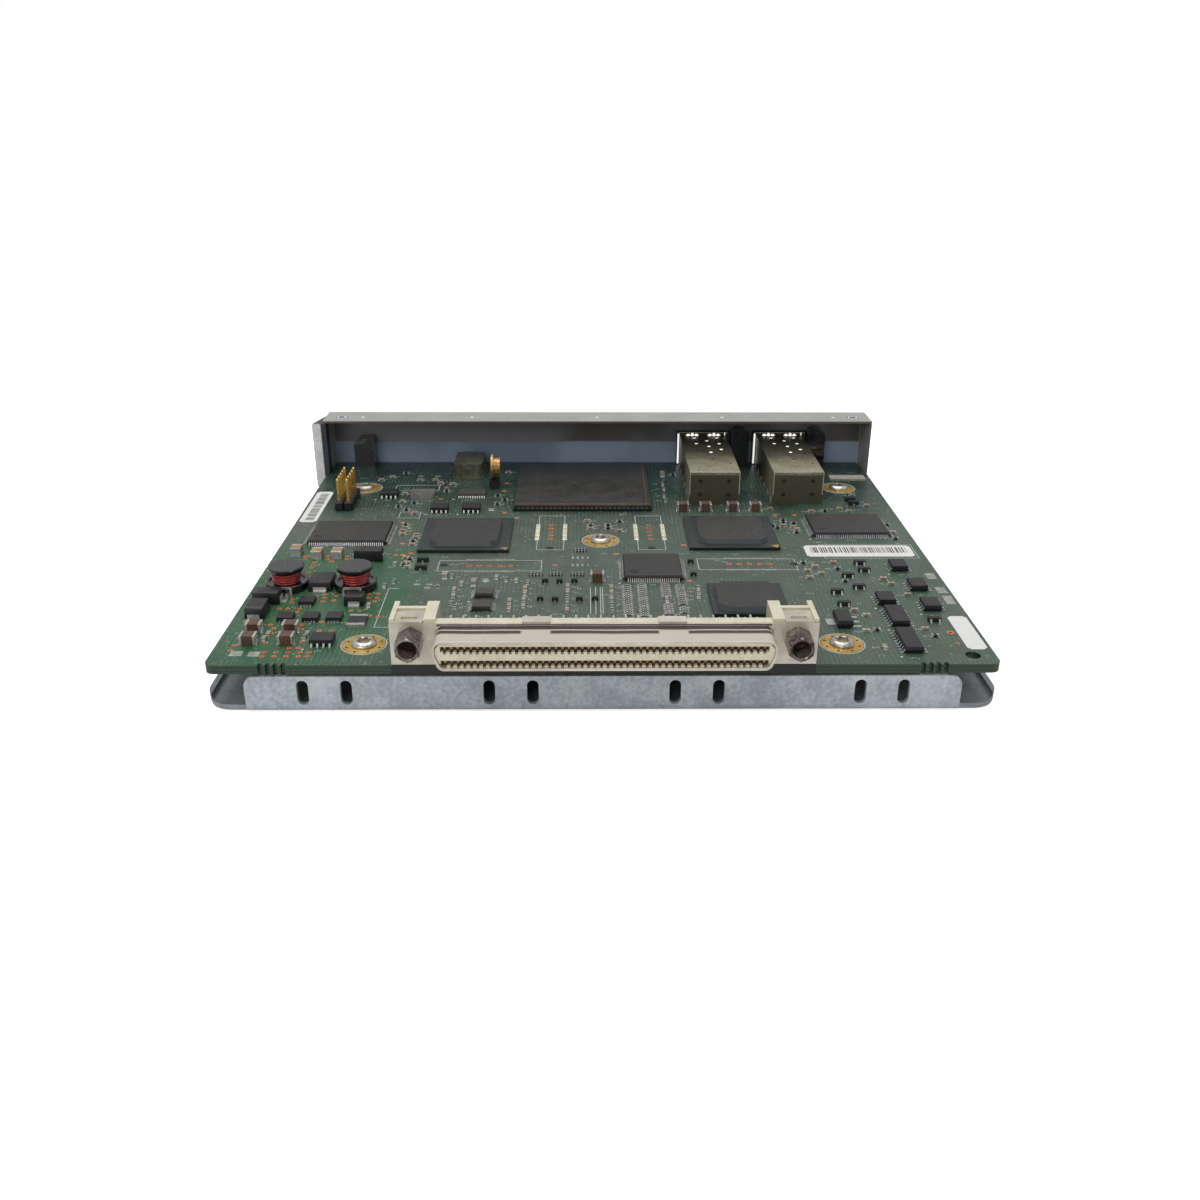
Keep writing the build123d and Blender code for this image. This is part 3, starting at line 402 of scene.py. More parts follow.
@dataclass(frozen=True)
class Finish:
    """A finish with fine grain, slight colour change and dust, and where asked a painted glow."""

    name: str
    light: Triple
    dark: Triple
    metallic: float = 0.0
    rough: float = 0.5
    spread: float = 0.3
    grain_mm: float = 0.4
    bump: float = 0.15
    coat: float = 0.0
    dust: float = 0.25
    clear: float = 0.0
    painted_glow: float = 0.0

    def material(self) -> bpy.types.Material:
        """Builds the material once and gives it back on later calls.

        Returns:
            The material.
        """
        title = f"{self.name}_finish"
        if title in bpy.data.materials:
            return bpy.data.materials[title]
        made = bpy.data.materials.new(title)
        made.use_nodes = True
        graph = Graph(made.node_tree)
        shader = graph.add("ShaderNodeBsdfPrincipled")
        shader.inputs["Metallic"].default_value = self.metallic
        shader.inputs["Coat Weight"].default_value = self.coat
        shader.inputs["Transmission Weight"].default_value = self.clear
        # A painted glow: white emission on a part that is no lamp.
        if self.painted_glow:
            shader.inputs["Emission Color"].default_value = DAYLIGHT
            shader.inputs["Emission Strength"].default_value = self.painted_glow
        vector = graph.place()
        grain = graph.group(EFFECTS.grain, Vector=vector, Scale=1.0 / (self.grain_mm * MM), Light=self.light,
                            Dark=self.dark, Rough=self.rough, Spread=self.spread)
        colour = self.colour(graph, vector, grain.outputs["Colour"])
        dust = graph.group(EFFECTS.dust, Vector=vector, Amount=self.dust).outputs["Mask"]
        graph.feed(shader.inputs["Base Color"], graph.mix(dust, colour, DUST_TINT))
        graph.feed(shader.inputs["Roughness"], grain.outputs["Roughness"])
        relief = graph.add("ShaderNodeBump")
        relief.inputs["Strength"].default_value = self.bump
        relief.inputs["Distance"].default_value = RELIEF_MM * MM
        graph.feed(relief.inputs["Height"], self.height(graph, vector, grain.outputs["Height"]))
        graph.feed(shader.inputs["Normal"], relief.outputs["Normal"])
        out = graph.add("ShaderNodeOutputMaterial")
        graph.feed(out.inputs["Surface"], shader.outputs["BSDF"])
        return made

    def colour(self, graph: Graph, vector: Socket, grain: Socket) -> Socket:
        """Gives the base colour, here the grain's own."""
        return grain

    def height(self, graph: Graph, vector: Socket, grain: Socket) -> Socket:
        """Gives the relief, here the grain's own."""
        return grain


@dataclass(frozen=True)
class GalvanisedSheet(Finish):
    """Hot-dipped sheet with a spangle of pale and darker crystals, and painted shade inside the tray."""

    crystal_mm: float = 2.4
    spangle: float = 0.22
    shade: Triple = tint(70, 76, 80)
    shade_y: Point = (REAR + 0.6, REAR + 1.6)
    shade_z: Point = (1.3, 1.0)
    shade_share: Point = (0.6, 0.35)

    def colour(self, graph: Graph, vector: Socket, grain: Socket) -> Socket:
        """Adds the spangle and painted shade inside the tray.

        Args:
            graph: the material's graph.
            vector: the object coordinates.
            grain: the fine grain's colour.

        Returns:
            The base colour.
        """
        crystal = graph.cells(vector, self.crystal_mm)
        tone = graph.axes(crystal.outputs["Color"])[0]
        spangled = graph.mix(graph.math("MULTIPLY", tone, self.spangle), grain, self.dark)
        _, y, z = graph.axes(vector)
        # Painted shade: the shade colour covers the tray beyond its rear wall, more strongly off the floor
        # than on it.
        low = graph.span(z, self.shade_z[0] * MM, self.shade_z[1] * MM, *self.shade_share)
        inside = graph.math("MULTIPLY", graph.span(y, self.shade_y[0] * MM, self.shade_y[1] * MM), low)
        return graph.mix(inside, spangled, self.shade)


@dataclass(frozen=True)
class ZincPanel(Finish):
    """Folded zinc-coated sheet, darker on its inner face than on its outer flange through a painted shadow
    and a painted bluish reflection, with painted shade on faces that look down.
    """

    dimples: tuple[Point, ...] = ((-70.0, 61.6), (-37.6, 61.6), (-0.3, 61.6), (37.2, 61.6), (70.4, 61.6))
    # Painted highlight rings, each a radius and a colour, with the darker outer ring first.
    dimple_highlights: tuple[Stop, ...] = ((0.85, tint(150, 148, 138)), (0.6, tint(244, 240, 222)))
    tapped: tuple[Point, ...] = ((-76.3, 61.6), (76.3, 61.6))
    tapped_highlights: tuple[Stop, ...] = ((1.75, tint(112, 112, 112)), (1.4, tint(240, 240, 236)))
    cloud_mm: float = 26.0
    # The upper colours are painted shadow under the top flange, the lower ones a painted bluish reflection,
    # and the under colour painted shade on faces that look down.
    upper: tuple[Triple, Triple] = (tint(92, 88, 84), tint(126, 126, 132))
    lower: tuple[Triple, Triple] = (tint(150, 168, 190), tint(124, 142, 164))
    under: Triple = tint(80, 82, 86)
    rim: Triple = tint(104, 82, 74)
    band_edge_z: float = 17.4
    band_edge_drift: float = 1.2
    inner_y: Point = (66.0, 67.5)
    rim_y: Point = (60.0, 58.0)

    def _marks(self, graph: Graph, vector: Socket, base: Socket) -> Socket:
        """Draws painted highlights, ringed by darker paint, on the rims of the tapped holes and on the small
        pressed dimples.

        Args:
            graph: the material's graph.
            vector: the object coordinates.
            base: the colour below them.

        Returns:
            The colour with the marks.
        """
        for places, rings in ((self.tapped, self.tapped_highlights), (self.dimples, self.dimple_highlights)):
            for x, y in places:
                for radius, colour in rings:
                    spot_mask = graph.group(EFFECTS.disc, Vector=vector, Centre_X=x * MM, Centre_Y=y * MM,
                                            Radius=radius * MM).outputs["Mask"]
                    base = graph.mix(spot_mask, base, colour)
        return base

    def colour(self, graph: Graph, vector: Socket, grain: Socket) -> Socket:
        """Paints the inner face with a dark upper band of painted shadow and a bluish lower band of painted
        reflection, and paints shade on faces that look down.

        Args:
            graph: the material's graph.
            vector: the object coordinates.
            grain: the fine grain's colour.

        Returns:
            The base colour.
        """
        _, y, z = graph.axes(vector)
        cloud = graph.noise(vector, self.cloud_mm, 2.0)
        upper = graph.mix(graph.span(cloud, 0.35, 0.6), *self.upper)
        lower = graph.mix(graph.span(cloud, 0.4, 0.65), *self.lower)
        # The edge between the painted shadow band and the painted reflection band.
        fold = graph.drift(z, cloud, self.band_edge_drift)
        shadow_and_reflection = graph.mix(graph.span(fold, (self.band_edge_z + 0.5) * MM, (self.band_edge_z - 0.4) * MM), upper, lower)
        towards = graph.facing()
        inward = graph.span(graph.math("MULTIPLY", towards[1], -1.0), 0.6, 0.9)
        inner = graph.math("MULTIPLY", inward, graph.span(y, self.inner_y[0] * MM, self.inner_y[1] * MM))
        rim = graph.math("MULTIPLY", inward, graph.span(y, self.rim_y[0] * MM, self.rim_y[1] * MM))
        shown = graph.mix(graph.span(towards[2], -0.5, -0.9), graph.mix(inner, grain, shadow_and_reflection), self.under)
        return self._marks(graph, vector, graph.mix(rim, shown, self.rim))


@dataclass(frozen=True)
class SolderMask(Finish):
    """Green solder mask over copper: tracks, vias, pours and a sawn edge, with painted shade towards the far
    side and a painted shadow on the edge below the connector.
    """

    right_tint: Triple = tint(60, 84, 66)
    power_tint: Triple = tint(30, 82, 48)
    # Painted shade on the board's far side.
    far_painted_shade: Triple = tint(16, 46, 38)
    region_drift: float = 30.0
    patch_mm: float = 9.0
    track_pitch: float = 1.0
    track_tint: Triple = tint(100, 124, 102)
    track_share: float = 0.26
    via_pitch: float = 2.3
    via_tint: Triple = tint(150, 160, 130)
    via_share: float = 0.5
    layer_mm: float = 0.4
    layer_tints: tuple[Triple, Triple] = (tint(18, 44, 30), tint(36, 66, 42))
    shade_half: float = 43.0
    shade_tint: Triple = tint(5, 9, 7)

    def _tracks(self, graph: Graph, vector: Socket) -> tuple[Socket, Socket]:
        """Draws bundles of tracks that change direction from patch to patch.

        Args:
            graph: the material's graph.
            vector: the object coordinates.

        Returns:
            The tracks' mask and the vias' mask.
        """
        patch = graph.axes(graph.cells(vector, self.patch_mm).outputs["Color"])
        lines = None
        for turn, low, high in ((0.0, 0.0, 0.5), (90.0, 0.5, 0.68), (45.0, 0.68, 0.84), (-45.0, 0.84, 1.0)):
            wave = graph.add("ShaderNodeTexWave", wave_type="BANDS", bands_direction="X")
            turned = graph.add("ShaderNodeMapping")
            turned.inputs["Rotation"].default_value = (0.0, 0.0, math.radians(turn))
            graph.feed(turned.inputs["Vector"], vector)
            graph.feed(wave.inputs["Vector"], turned.outputs["Vector"])
            wave.inputs["Scale"].default_value = math.pi / (10 * self.track_pitch * MM)
            chosen = graph.inside(patch[0], low, high)
            mask = graph.math("MULTIPLY", graph.span(wave.outputs["Fac"], 0.55, 0.8), chosen)
            lines = mask if lines is None else graph.math("ADD", lines, mask)
        busy = graph.span(patch[1], 0.2, 0.35)
        dots = graph.cells(vector, self.via_pitch)
        via = graph.span(dots.outputs["Distance"], 0.16, 0.11)
        some = graph.math("GREATER_THAN", graph.axes(dots.outputs["Color"])[2], 0.55)
        return graph.math("MULTIPLY", lines, busy), graph.math("MULTIPLY", via, some)

    def colour(self, graph: Graph, vector: Socket, grain: Socket) -> Socket:
        """Mixes the board's regions, tracks and edge, with painted shade on the far side and a painted shadow
        on the edge below the connector.

        Args:
            graph: the material's graph.
            vector: the object coordinates.
            grain: the fine grain's colour.

        Returns:
            The base colour.
        """
        x, y, z = graph.axes(vector)
        cloud = graph.noise(vector, 22.0)
        across = graph.drift(x, cloud, self.region_drift)
        along = graph.drift(y, cloud, self.region_drift)
        power = graph.math("MULTIPLY", graph.span(across, -38.0 * MM, -50.0 * MM),
                           graph.span(along, 4.0 * MM, -10.0 * MM))
        # Painted shade: the board darkens towards the far side.
        far = graph.span(along, 14.0 * MM, 34.0 * MM)
        right = graph.span(across, 42.0 * MM, 62.0 * MM)
        base = graph.mix(graph.math("MULTIPLY", right, 0.6), grain, self.right_tint)
        base = graph.mix(power, base, self.power_tint)
        base = graph.mix(far, base, self.far_painted_shade)
        lines, vias = self._tracks(graph, vector)
        base = graph.mix(graph.math("MULTIPLY", lines, self.track_share), base, self.track_tint)
        base = graph.mix(graph.math("MULTIPLY", vias, self.via_share), base, self.via_tint)
        side = graph.span(graph.math("ABSOLUTE", graph.facing()[2]), 0.6, 0.3)
        layers = graph.span(graph.math("PINGPONG", z, self.layer_mm * MM), 0.1 * MM, 0.3 * MM)
        edge = graph.mix(layers, *self.layer_tints)
        # Painted shadow: the rear edge below the connector turns nearly black.
        edge_painted_shadow = graph.math("LESS_THAN", graph.math("ABSOLUTE", x), self.shade_half * MM)
        edge = graph.mix(graph.math("MULTIPLY", edge_painted_shadow, 0.95), edge, self.shade_tint)
        return graph.mix(side, base, edge)

    def height(self, graph: Graph, vector: Socket, grain: Socket) -> Socket:
        """Raises the tracks a little.

        Args:
            graph: the material's graph.
            vector: the object coordinates.
            grain: the fine grain.

        Returns:
            The relief.
        """
        lines, _ = self._tracks(graph, vector)
        return graph.math("ADD", graph.math("MULTIPLY", grain, 0.15), lines)


@dataclass(frozen=True)
class CagePlate(Finish):
    """Thin plated sheet with painted shade towards the panel and on the cages' backs."""

    drift_mm: float = 14.0
    shade_y: Point = (31.0, 52.0)
    shade_tint: Triple = tint(62, 60, 46)
    back_shade_z: Point = (19.8, 19.0)
    back_painted_shade: Triple = tint(92, 88, 68)

    def colour(self, graph: Graph, vector: Socket, grain: Socket) -> Socket:
        """Paints shade on the top along the cage towards the panel, and on the back.

        Args:
            graph: the material's graph.
            vector: the object coordinates.
            grain: the fine grain's colour.

        Returns:
            The base colour.
        """
        _, y, z = graph.axes(vector)
        along = graph.drift(y, graph.noise(vector, 6.0, 2.0), self.drift_mm)
        top = graph.mix(graph.span(along, self.shade_y[0] * MM, self.shade_y[1] * MM), grain, self.shade_tint)
        # Painted shade on the back faces below the top.
        back = graph.span(graph.math("MULTIPLY", graph.facing()[1], -1.0), 0.5, 0.9)
        low = graph.span(z, self.back_shade_z[0] * MM, self.back_shade_z[1] * MM)
        return graph.mix(graph.math("MULTIPLY", back, low), top, self.back_painted_shade)


@dataclass(frozen=True)
class DrawnShell(Finish):
    """The connector's plated shell, with painted reflections in dark and bright bands across the nose and
    painted shade on its front bend.
    """

    # The colours of the painted reflection bands on the nose; the bright one is a painted highlight.
    pale: Triple = tint(214, 204, 190)
    brown: Triple = tint(52, 32, 27)
    bright: Triple = tint(250, 244, 232)
    nose_y: float = -75.4
    nose_l: float = 8.0
    bend_y: float = -67.85
    drift_mm: float = 0.8
    clip_x: float = 13.6
    clip_edge: Point = (2.6, 3.2)
    bend_shade_z: Point = (TOP + 8.75, TOP + 9.17)
    bend_shade_half: float = 33.4

    def colour(self, graph: Graph, vector: Socket, grain: Socket) -> Socket:
        """Lays the painted reflection bands across the nose, leaves the clips pale, and paints shade on the
        front bend.

        Args:
            graph: the material's graph.
            vector: the object coordinates.
            grain: the fine grain's colour.

        Returns:
            The base colour.
        """
        x, y, z = graph.axes(vector)
        side = graph.math("ABSOLUTE", x)
        along = graph.drift(y, graph.noise(vector, 9.0, 2.0), self.drift_mm)
        depth = graph.math("DIVIDE", graph.math("SUBTRACT", along, self.nose_y * MM), self.nose_l * MM)
        pale, brown, bright = self.pale, self.brown, self.bright
        full = graph.ramp(depth, [(0.0, bright), (0.07, pale), (0.46, pale), (0.54, brown), (0.67, brown),
                                  (0.71, bright), (0.75, brown), (1.0, brown)])
        short = graph.ramp(depth, [(0.0, bright), (0.07, pale), (0.7, pale), (0.77, brown), (1.0, brown)])
        clip = graph.math("ABSOLUTE", graph.math("SUBTRACT", side, self.clip_x * MM))
        bands = graph.mix(graph.span(clip, self.clip_edge[0] * MM, self.clip_edge[1] * MM), short, full)
        up = graph.span(graph.facing()[2], 0.5, 0.9)
        nose = graph.math("MULTIPLY", graph.math("LESS_THAN", y, self.bend_y * MM), up)
        # Painted shade on the front bend, but not where it looks up.
        brow = graph.math("MULTIPLY", graph.inside(z, self.bend_shade_z[0] * MM, self.bend_shade_z[1] * MM),
                          graph.math("LESS_THAN", side, self.bend_shade_half * MM))
        brow = graph.math("MULTIPLY", brow, graph.math("SUBTRACT", 1.0, up))
        base = graph.mix(graph.math("MULTIPLY", nose, 0.95), grain, bands)
        return graph.mix(graph.math("MULTIPLY", brow, 0.85), base, brown)


@dataclass(frozen=True)
class SocketSteel(Finish):
    """Polished steel whose threaded bore falls into shade, with a paler colour painted into the bore as
    painted light.
    """

    bore_edge: Point = (2.15, 1.9)
    bore_painted_light: Triple = tint(150, 140, 132)

    def colour(self, graph: Graph, vector: Socket, grain: Socket) -> Socket:
        """Paints the bore paler, as painted light.

        Args:
            graph: the material's graph.
            vector: the object coordinates.
            grain: the fine grain's colour.

        Returns:
            The base colour.
        """
        x, _, z = graph.axes(vector)
        across = graph.math("SUBTRACT", graph.math("ABSOLUTE", x), SOCKET_X * MM)
        distance = graph.reach(across, graph.math("SUBTRACT", z, SOCKET_Z * MM))
        # Painted light in the threaded bore.
        bore = graph.span(distance, self.bore_edge[0] * MM, self.bore_edge[1] * MM)
        return graph.mix(bore, grain, self.bore_painted_light)


@dataclass(frozen=True)
class SpringStripSteel(Finish):
    """Bright strip whose inner bend lies in shade."""

    shade_x: Point = (-82.0, -81.6)
    shade_y: float = 60.6
    shade_tint: Triple = tint(44, 48, 56)

    def colour(self, graph: Graph, vector: Socket, grain: Socket) -> Socket:
        """Darkens what lies inside the flange, but for the leg's free edge.

        Args:
            graph: the material's graph.
            vector: the object coordinates.
            grain: the fine grain's colour.

        Returns:
            The base colour.
        """
        x, y, _ = graph.axes(vector)
        hidden = graph.math("MULTIPLY", graph.span(x, self.shade_x[0] * MM, self.shade_x[1] * MM),
                            graph.math("LESS_THAN", y, self.shade_y * MM))
        return graph.mix(hidden, grain, self.shade_tint)


@dataclass(frozen=True)
class ChipLid(Finish):
    """A flat metal lid with a brushed face."""

    squeeze: float = 14.0
    brush_mm: float = 3.0
    brush_share: float = 0.5

    def colour(self, graph: Graph, vector: Socket, grain: Socket) -> Socket:
        """Adds the brush lines.

        Args:
            graph: the material's graph.
            vector: the object coordinates.
            grain: the fine grain's colour.

        Returns:
            The base colour.
        """
        squeezed = graph.add("ShaderNodeMapping")
        squeezed.inputs["Scale"].default_value = (1.0, self.squeeze, 1.0)
        graph.feed(squeezed.inputs["Vector"], vector)
        brush = graph.noise(squeezed.outputs["Vector"], self.brush_mm, 5.0)
        return graph.mix(graph.span(brush, 0.3, 0.7, 0.0, self.brush_share), grain, self.dark)


@dataclass(frozen=True)
class MouldedChip(Finish):
    """Moulding compound whose flanks and cut corners catch a bluish light."""

    flank_share: float = 0.6
    flank_tint: Triple = tint(78, 86, 92)

    def colour(self, graph: Graph, vector: Socket, grain: Socket) -> Socket:
        """Lightens the slanted flanks.

        Args:
            graph: the material's graph.
            vector: the object coordinates; not used.
            grain: the fine grain's colour.

        Returns:
            The base colour.
        """
        flank = graph.span(graph.math("ABSOLUTE", graph.facing()[2]), 0.9, 0.6)
        return graph.mix(graph.math("MULTIPLY", flank, self.flank_share), grain, self.flank_tint)


class Finishes:
    """Every finish on the card. The numbers are its metallic share, roughness, spread, grain and relief."""

    TRAY = GalvanisedSheet("galvanised_sheet", tint(196, 203, 208), tint(156, 164, 170), 0.25, 0.5, 0.3, 0.9)
    PANEL = ZincPanel("zinc_panel", tint(172, 172, 168), tint(158, 158, 154), 0.15, 0.5, 0.25, 1.2, 0.04)
    STEEL = Finish("bright_steel", tint(206, 204, 198), tint(150, 148, 142), 0.8, 0.3, 0.3, 0.5, 0.05)
    SPRING = SpringStripSteel("pale_spring", tint(222, 222, 220), tint(196, 196, 194), 0.35, 0.4, 0.3, 0.6,
                              0.03)
    BOARD = SolderMask("solder_mask", tint(70, 86, 74), tint(54, 71, 59), 0.0, 0.38, 0.3, 0.5, 0.25, dust=0.4)
    CAGE = CagePlate("cage_plate", tint(176, 170, 142), tint(136, 131, 106), 0.45, 0.38, 0.35, 0.8, 0.06)
    # Paler strips laid on the cages' folded edges as painted highlights.
    CAGE_FOLD_HIGHLIGHT = Finish("cage_edge_highlight", tint(226, 220, 198), tint(188, 182, 160), 0.5, 0.3, 0.3, 0.7, 0.05)
    SHADE = Finish("slot_shade", tint(66, 46, 30), tint(40, 27, 18), 0.0, 0.6, 0.2)
    # Dark discs in holes, vias and dimples as painted shade.
    HOLLOW_SHADE = Finish("painted_hollow_shade", tint(26, 27, 27), tint(16, 17, 17), 0.0, 0.7, 0.2)
    # White that glows as painted light in the cages' holes and gaps, where the backdrop would show through.
    GLOWING_WHITE = Finish("glowing_white_paint", tint(232, 230, 222), tint(206, 204, 196), 0.0, 0.6, 0.2, painted_glow=0.75)
    HANDLE = Finish("handle_black", tint(40, 42, 46), tint(28, 30, 33), 0.0, 0.48, 0.3, 0.3, 0.3)
    BLACK = Finish("black_moulding", tint(26, 25, 26), tint(15, 15, 16), 0.0, 0.44, 0.3, 0.25, 0.25,
                   dust=0.15)
    PACK = Finish("package_black", tint(44, 42, 40), tint(33, 31, 30), 0.0, 0.5, 0.3, 0.25, 0.2, dust=0.15)
    GRID_CHIP = MouldedChip("grid_chip_black", tint(44, 43, 41), tint(34, 33, 32), 0.0, 0.5, 0.25, 0.3, 0.2,
                            dust=0.15)
    LAMP = Finish("lamp_black", tint(16, 17, 18), tint(9, 9, 10), 0.0, 0.12, 0.1, 0.8, 0.02, coat=0.8,
                  dust=0.1)
    LENS = Finish("clear_lens", tint(214, 222, 214), tint(190, 200, 190), 0.0, 0.15, 0.1, 0.8, 0.02,
                  clear=0.4)
    NICKEL = DrawnShell("nickel_shell", tint(222, 214, 202), tint(192, 182, 166), 0.35, 0.3, 0.25, 3.0, 0.03)
    NUT = SocketSteel("socket_steel", tint(150, 143, 140), tint(66, 58, 56), 0.85, 0.16, 0.3, 0.9, 0.05)
    IVORY = Finish("ivory_moulding", tint(226, 219, 196), tint(208, 200, 174), 0.0, 0.42, 0.25, 0.5, 0.12)
    GOLD = Finish("gold_contact", tint(206, 172, 112), tint(150, 116, 66), 0.7, 0.32, 0.3, 0.4, 0.05)
    PAD = Finish("gold_pad", tint(214, 178, 96), tint(170, 132, 60), 0.55, 0.34, 0.3, 0.6, 0.08)
    COPPER = Finish("bare_copper", tint(226, 132, 70), tint(190, 100, 50), 0.25, 0.4, 0.3, 0.4, 0.06)
    TIN = Finish("tinned_lead", tint(206, 208, 206), tint(158, 160, 158), 0.6, 0.34, 0.35, 0.3, 0.12)
    SOLDER = Finish("solder_dull", tint(186, 188, 184), tint(140, 142, 138), 0.5, 0.42, 0.35, 0.35, 0.2)
    LAMINATE = Finish("laminate", tint(24, 40, 36), tint(14, 27, 24), 0.0, 0.42, 0.25, 0.4, 0.1)
    LID = ChipLid("lid_metal", tint(78, 76, 73), tint(54, 53, 50), 0.4, 0.38, 0.25, 0.7, 0.08, dust=0.15)
    CRYSTAL = Finish("crystal_lid", tint(186, 184, 176), tint(150, 148, 142), 0.7, 0.3, 0.3, 0.6, 0.06)
    CAN = Finish("oscillator_can", tint(128, 126, 104), tint(92, 92, 76), 0.55, 0.3, 0.3, 1.0, 0.06)
    GREY = Finish("grey_moulding", tint(66, 61, 59), tint(54, 50, 48), 0.0, 0.5, 0.3, 0.25, 0.2)
    FERRITE = Finish("ferrite", tint(22, 21, 23), tint(9, 9, 11), 0.0, 0.18, 0.3, 0.35, 0.3, coat=0.35,
                     dust=0.1)
    WIRE = Finish("red_enamel_wire", tint(190, 40, 30), tint(110, 18, 16), 0.3, 0.2, 0.3, 0.5, 0.05, coat=0.5)
    RESISTOR = Finish("resistor_black", tint(24, 24, 24), tint(13, 13, 14), 0.0, 0.3, 0.3, 0.3, 0.1)
    TAN = Finish("tan_ceramic", tint(178, 142, 100), tint(146, 112, 76), 0.0, 0.45, 0.3, 0.3, 0.12)
    BROWN = Finish("brown_ceramic", tint(104, 72, 54), tint(76, 52, 40), 0.0, 0.45, 0.3, 0.3, 0.12)
    CREAM = Finish("solder_cream", tint(236, 230, 204), tint(206, 198, 168), 0.3, 0.4, 0.3, 0.4, 0.12)
    LABEL = Finish("label_paper", tint(232, 232, 230), tint(222, 222, 220), 0.0, 0.6, 0.2, 0.2, 0.1)
    INK = Finish("label_ink", tint(38, 38, 40), tint(28, 28, 30), 0.0, 0.55, 0.2, 0.2, 0.05)
    FOAM = Finish("foam_grey", tint(176, 174, 160), tint(150, 148, 136), 0.0, 0.8, 0.3, 0.3, 0.5)
    SILK = Finish("silk_white", tint(206, 212, 204), tint(184, 192, 184), 0.0, 0.6, 0.2, 0.3, 0.1)


class Stock:
    """A bmesh in millimetres that grows shape by shape and ends as one object in metres."""

    weld = 0.0005
    smooth_below = 35.0

    def __init__(self) -> None:
        """Starts with an empty bmesh."""
        self.bm = bmesh.new()

    def block(self, at: Triple, size: Triple, top: float = 1.0, turn: float = 0.0) -> "Stock":
        """Adds a box that stands on a point.

        Args:
            at: the middle of its foot.
            size: its width, depth and height.
            top: the size of its top against its foot.
            turn: its turn about Z in degrees.

        Returns:
            The stock itself.
        """
        verts = bmesh.ops.create_cube(self.bm, size=1.0)["verts"]
        upper = [v for v in verts if v.co.z > 0]
        bmesh.ops.scale(self.bm, vec=(top, top, 1.0), verts=upper)
        lift = Matrix.Translation((at[0], at[1], at[2] + size[2] / 2))
        place = lift @ Matrix.Rotation(math.radians(turn), 4, "Z") @ Matrix.Diagonal((*size, 1.0))
        bmesh.ops.transform(self.bm, matrix=place, verts=verts)
        return self

    def post(self, at: Triple, radius: float, height: float, sides: int = 12, top: float = 1.0) -> "Stock":
        """Adds an upright round post that stands on a point.

        Args:
            at: the middle of its foot.
            radius: its radius.
            height: its height.
            sides: how many sides it has.
            top: the radius of its top against its foot.

        Returns:
            The stock itself.
        """
        place = Matrix.Translation((at[0], at[1], at[2] + height / 2))
        bmesh.ops.create_cone(self.bm, cap_ends=True, segments=sides, radius1=radius, radius2=radius * top,
                              depth=height, matrix=place)
        return self

    def lathe(self, profile: list[Point], at: Triple, sides: int, closed: bool = False,
              tilt: Matrix | None = None) -> "Stock":
        """Spins a profile round its Z axis.

        Args:
            profile: radius and height of each point.
            at: where the axis stands.
            sides: how many steps a full turn has.
            closed: whether the last point joins the first.
            tilt: a turn that is given to the shape before it is put in place.

        Returns:
            The stock itself.
        """
        part = bmesh.new()
        points = [part.verts.new((radius, 0.0, height)) for radius, height in profile]
        pairs = list(zip(points, points[1:]))
        if closed:
            pairs.append((points[-1], points[0]))
        edges = [part.edges.new(pair) for pair in pairs]
        bmesh.ops.spin(part, geom=points + edges, cent=(0, 0, 0), axis=(0, 0, 1), angle=2 * math.pi,
                       steps=sides, use_merge=True)
        bmesh.ops.remove_doubles(part, verts=part.verts, dist=self.weld)
        bmesh.ops.recalc_face_normals(part, faces=part.faces)
        place = Matrix.Translation(at) @ (tilt or Matrix.Identity(4))
        bmesh.ops.transform(part, matrix=place, verts=part.verts)
        self._take(part)
        return self

    def _take(self, part: bmesh.types.BMesh) -> None:
        """Adds a finished bmesh to this one and frees it.

        Args:
            part: the bmesh that is added.
        """
        mesh = bpy.data.meshes.new("stock_part")
        part.to_mesh(mesh)
        part.free()
        self.bm.from_mesh(mesh)
        bpy.data.meshes.remove(mesh)

    def stamp(self, pattern: "Stock", places: list[Matrix]) -> "Stock":
        """Adds a copy of another stock at each place.

        Args:
            pattern: what is copied.
            places: where each copy goes.

        Returns:
            The stock itself.
        """
        mesh = bpy.data.meshes.new("stock_stamp")
        pattern.bm.to_mesh(mesh)
        for place in places:
            mesh.transform(place)
            self.bm.from_mesh(mesh)
            mesh.transform(place.inverted())
        bpy.data.meshes.remove(mesh)
        return self

    def bevel(self, width: float, segments: int = 1, angle: float = 40.0) -> "Stock":
        """Bevels every edge sharper than an angle.

        Args:
            width: the bevel's width.
            segments: how many faces it has.
            angle: the least angle between the faces, in degrees.

        Returns:
            The stock itself.
        """
        sharp = [e for e in self.bm.edges if e.calc_face_angle(0.0) > math.radians(angle)]
        bmesh.ops.bevel(self.bm, geom=sharp, offset=width, segments=segments, profile=0.5, affect="EDGES",
                        material=-1, clamp_overlap=True)
        return self

    def made(self, name: str, finish: Finish, slot: str, replaces: tuple[str, ...] = (),
             smooth: bool = False) -> bpy.types.Object:
        """Turns the stock into a finished object that rides on the card.

        Args:
            name: the object's name.
            finish: its finish.
            slot: the record's material slot that it belongs to; not used.
            replaces: the nodes that it stands for.
            smooth: whether its round faces are shaded smooth.

        Returns:
            The object.
        """
        bmesh.ops.scale(self.bm, vec=(MM, MM, MM), verts=self.bm.verts)
        mesh = bpy.data.meshes.new(name)
        self.bm.to_mesh(mesh)
        self.bm.free()
        mesh.materials.append(finish.material())
        if smooth:
            mesh.set_sharp_from_angle(angle=math.radians(self.smooth_below))
            for face in mesh.polygons:
                face.use_smooth = True
        piece = bpy.data.objects.new(name, mesh)
        bpy.context.scene.collection.objects.link(piece)
        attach(piece, "root")
        if replaces:
            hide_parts(*replaces)
        LOG.info("%s: %d faces", name, len(mesh.polygons))
        return piece


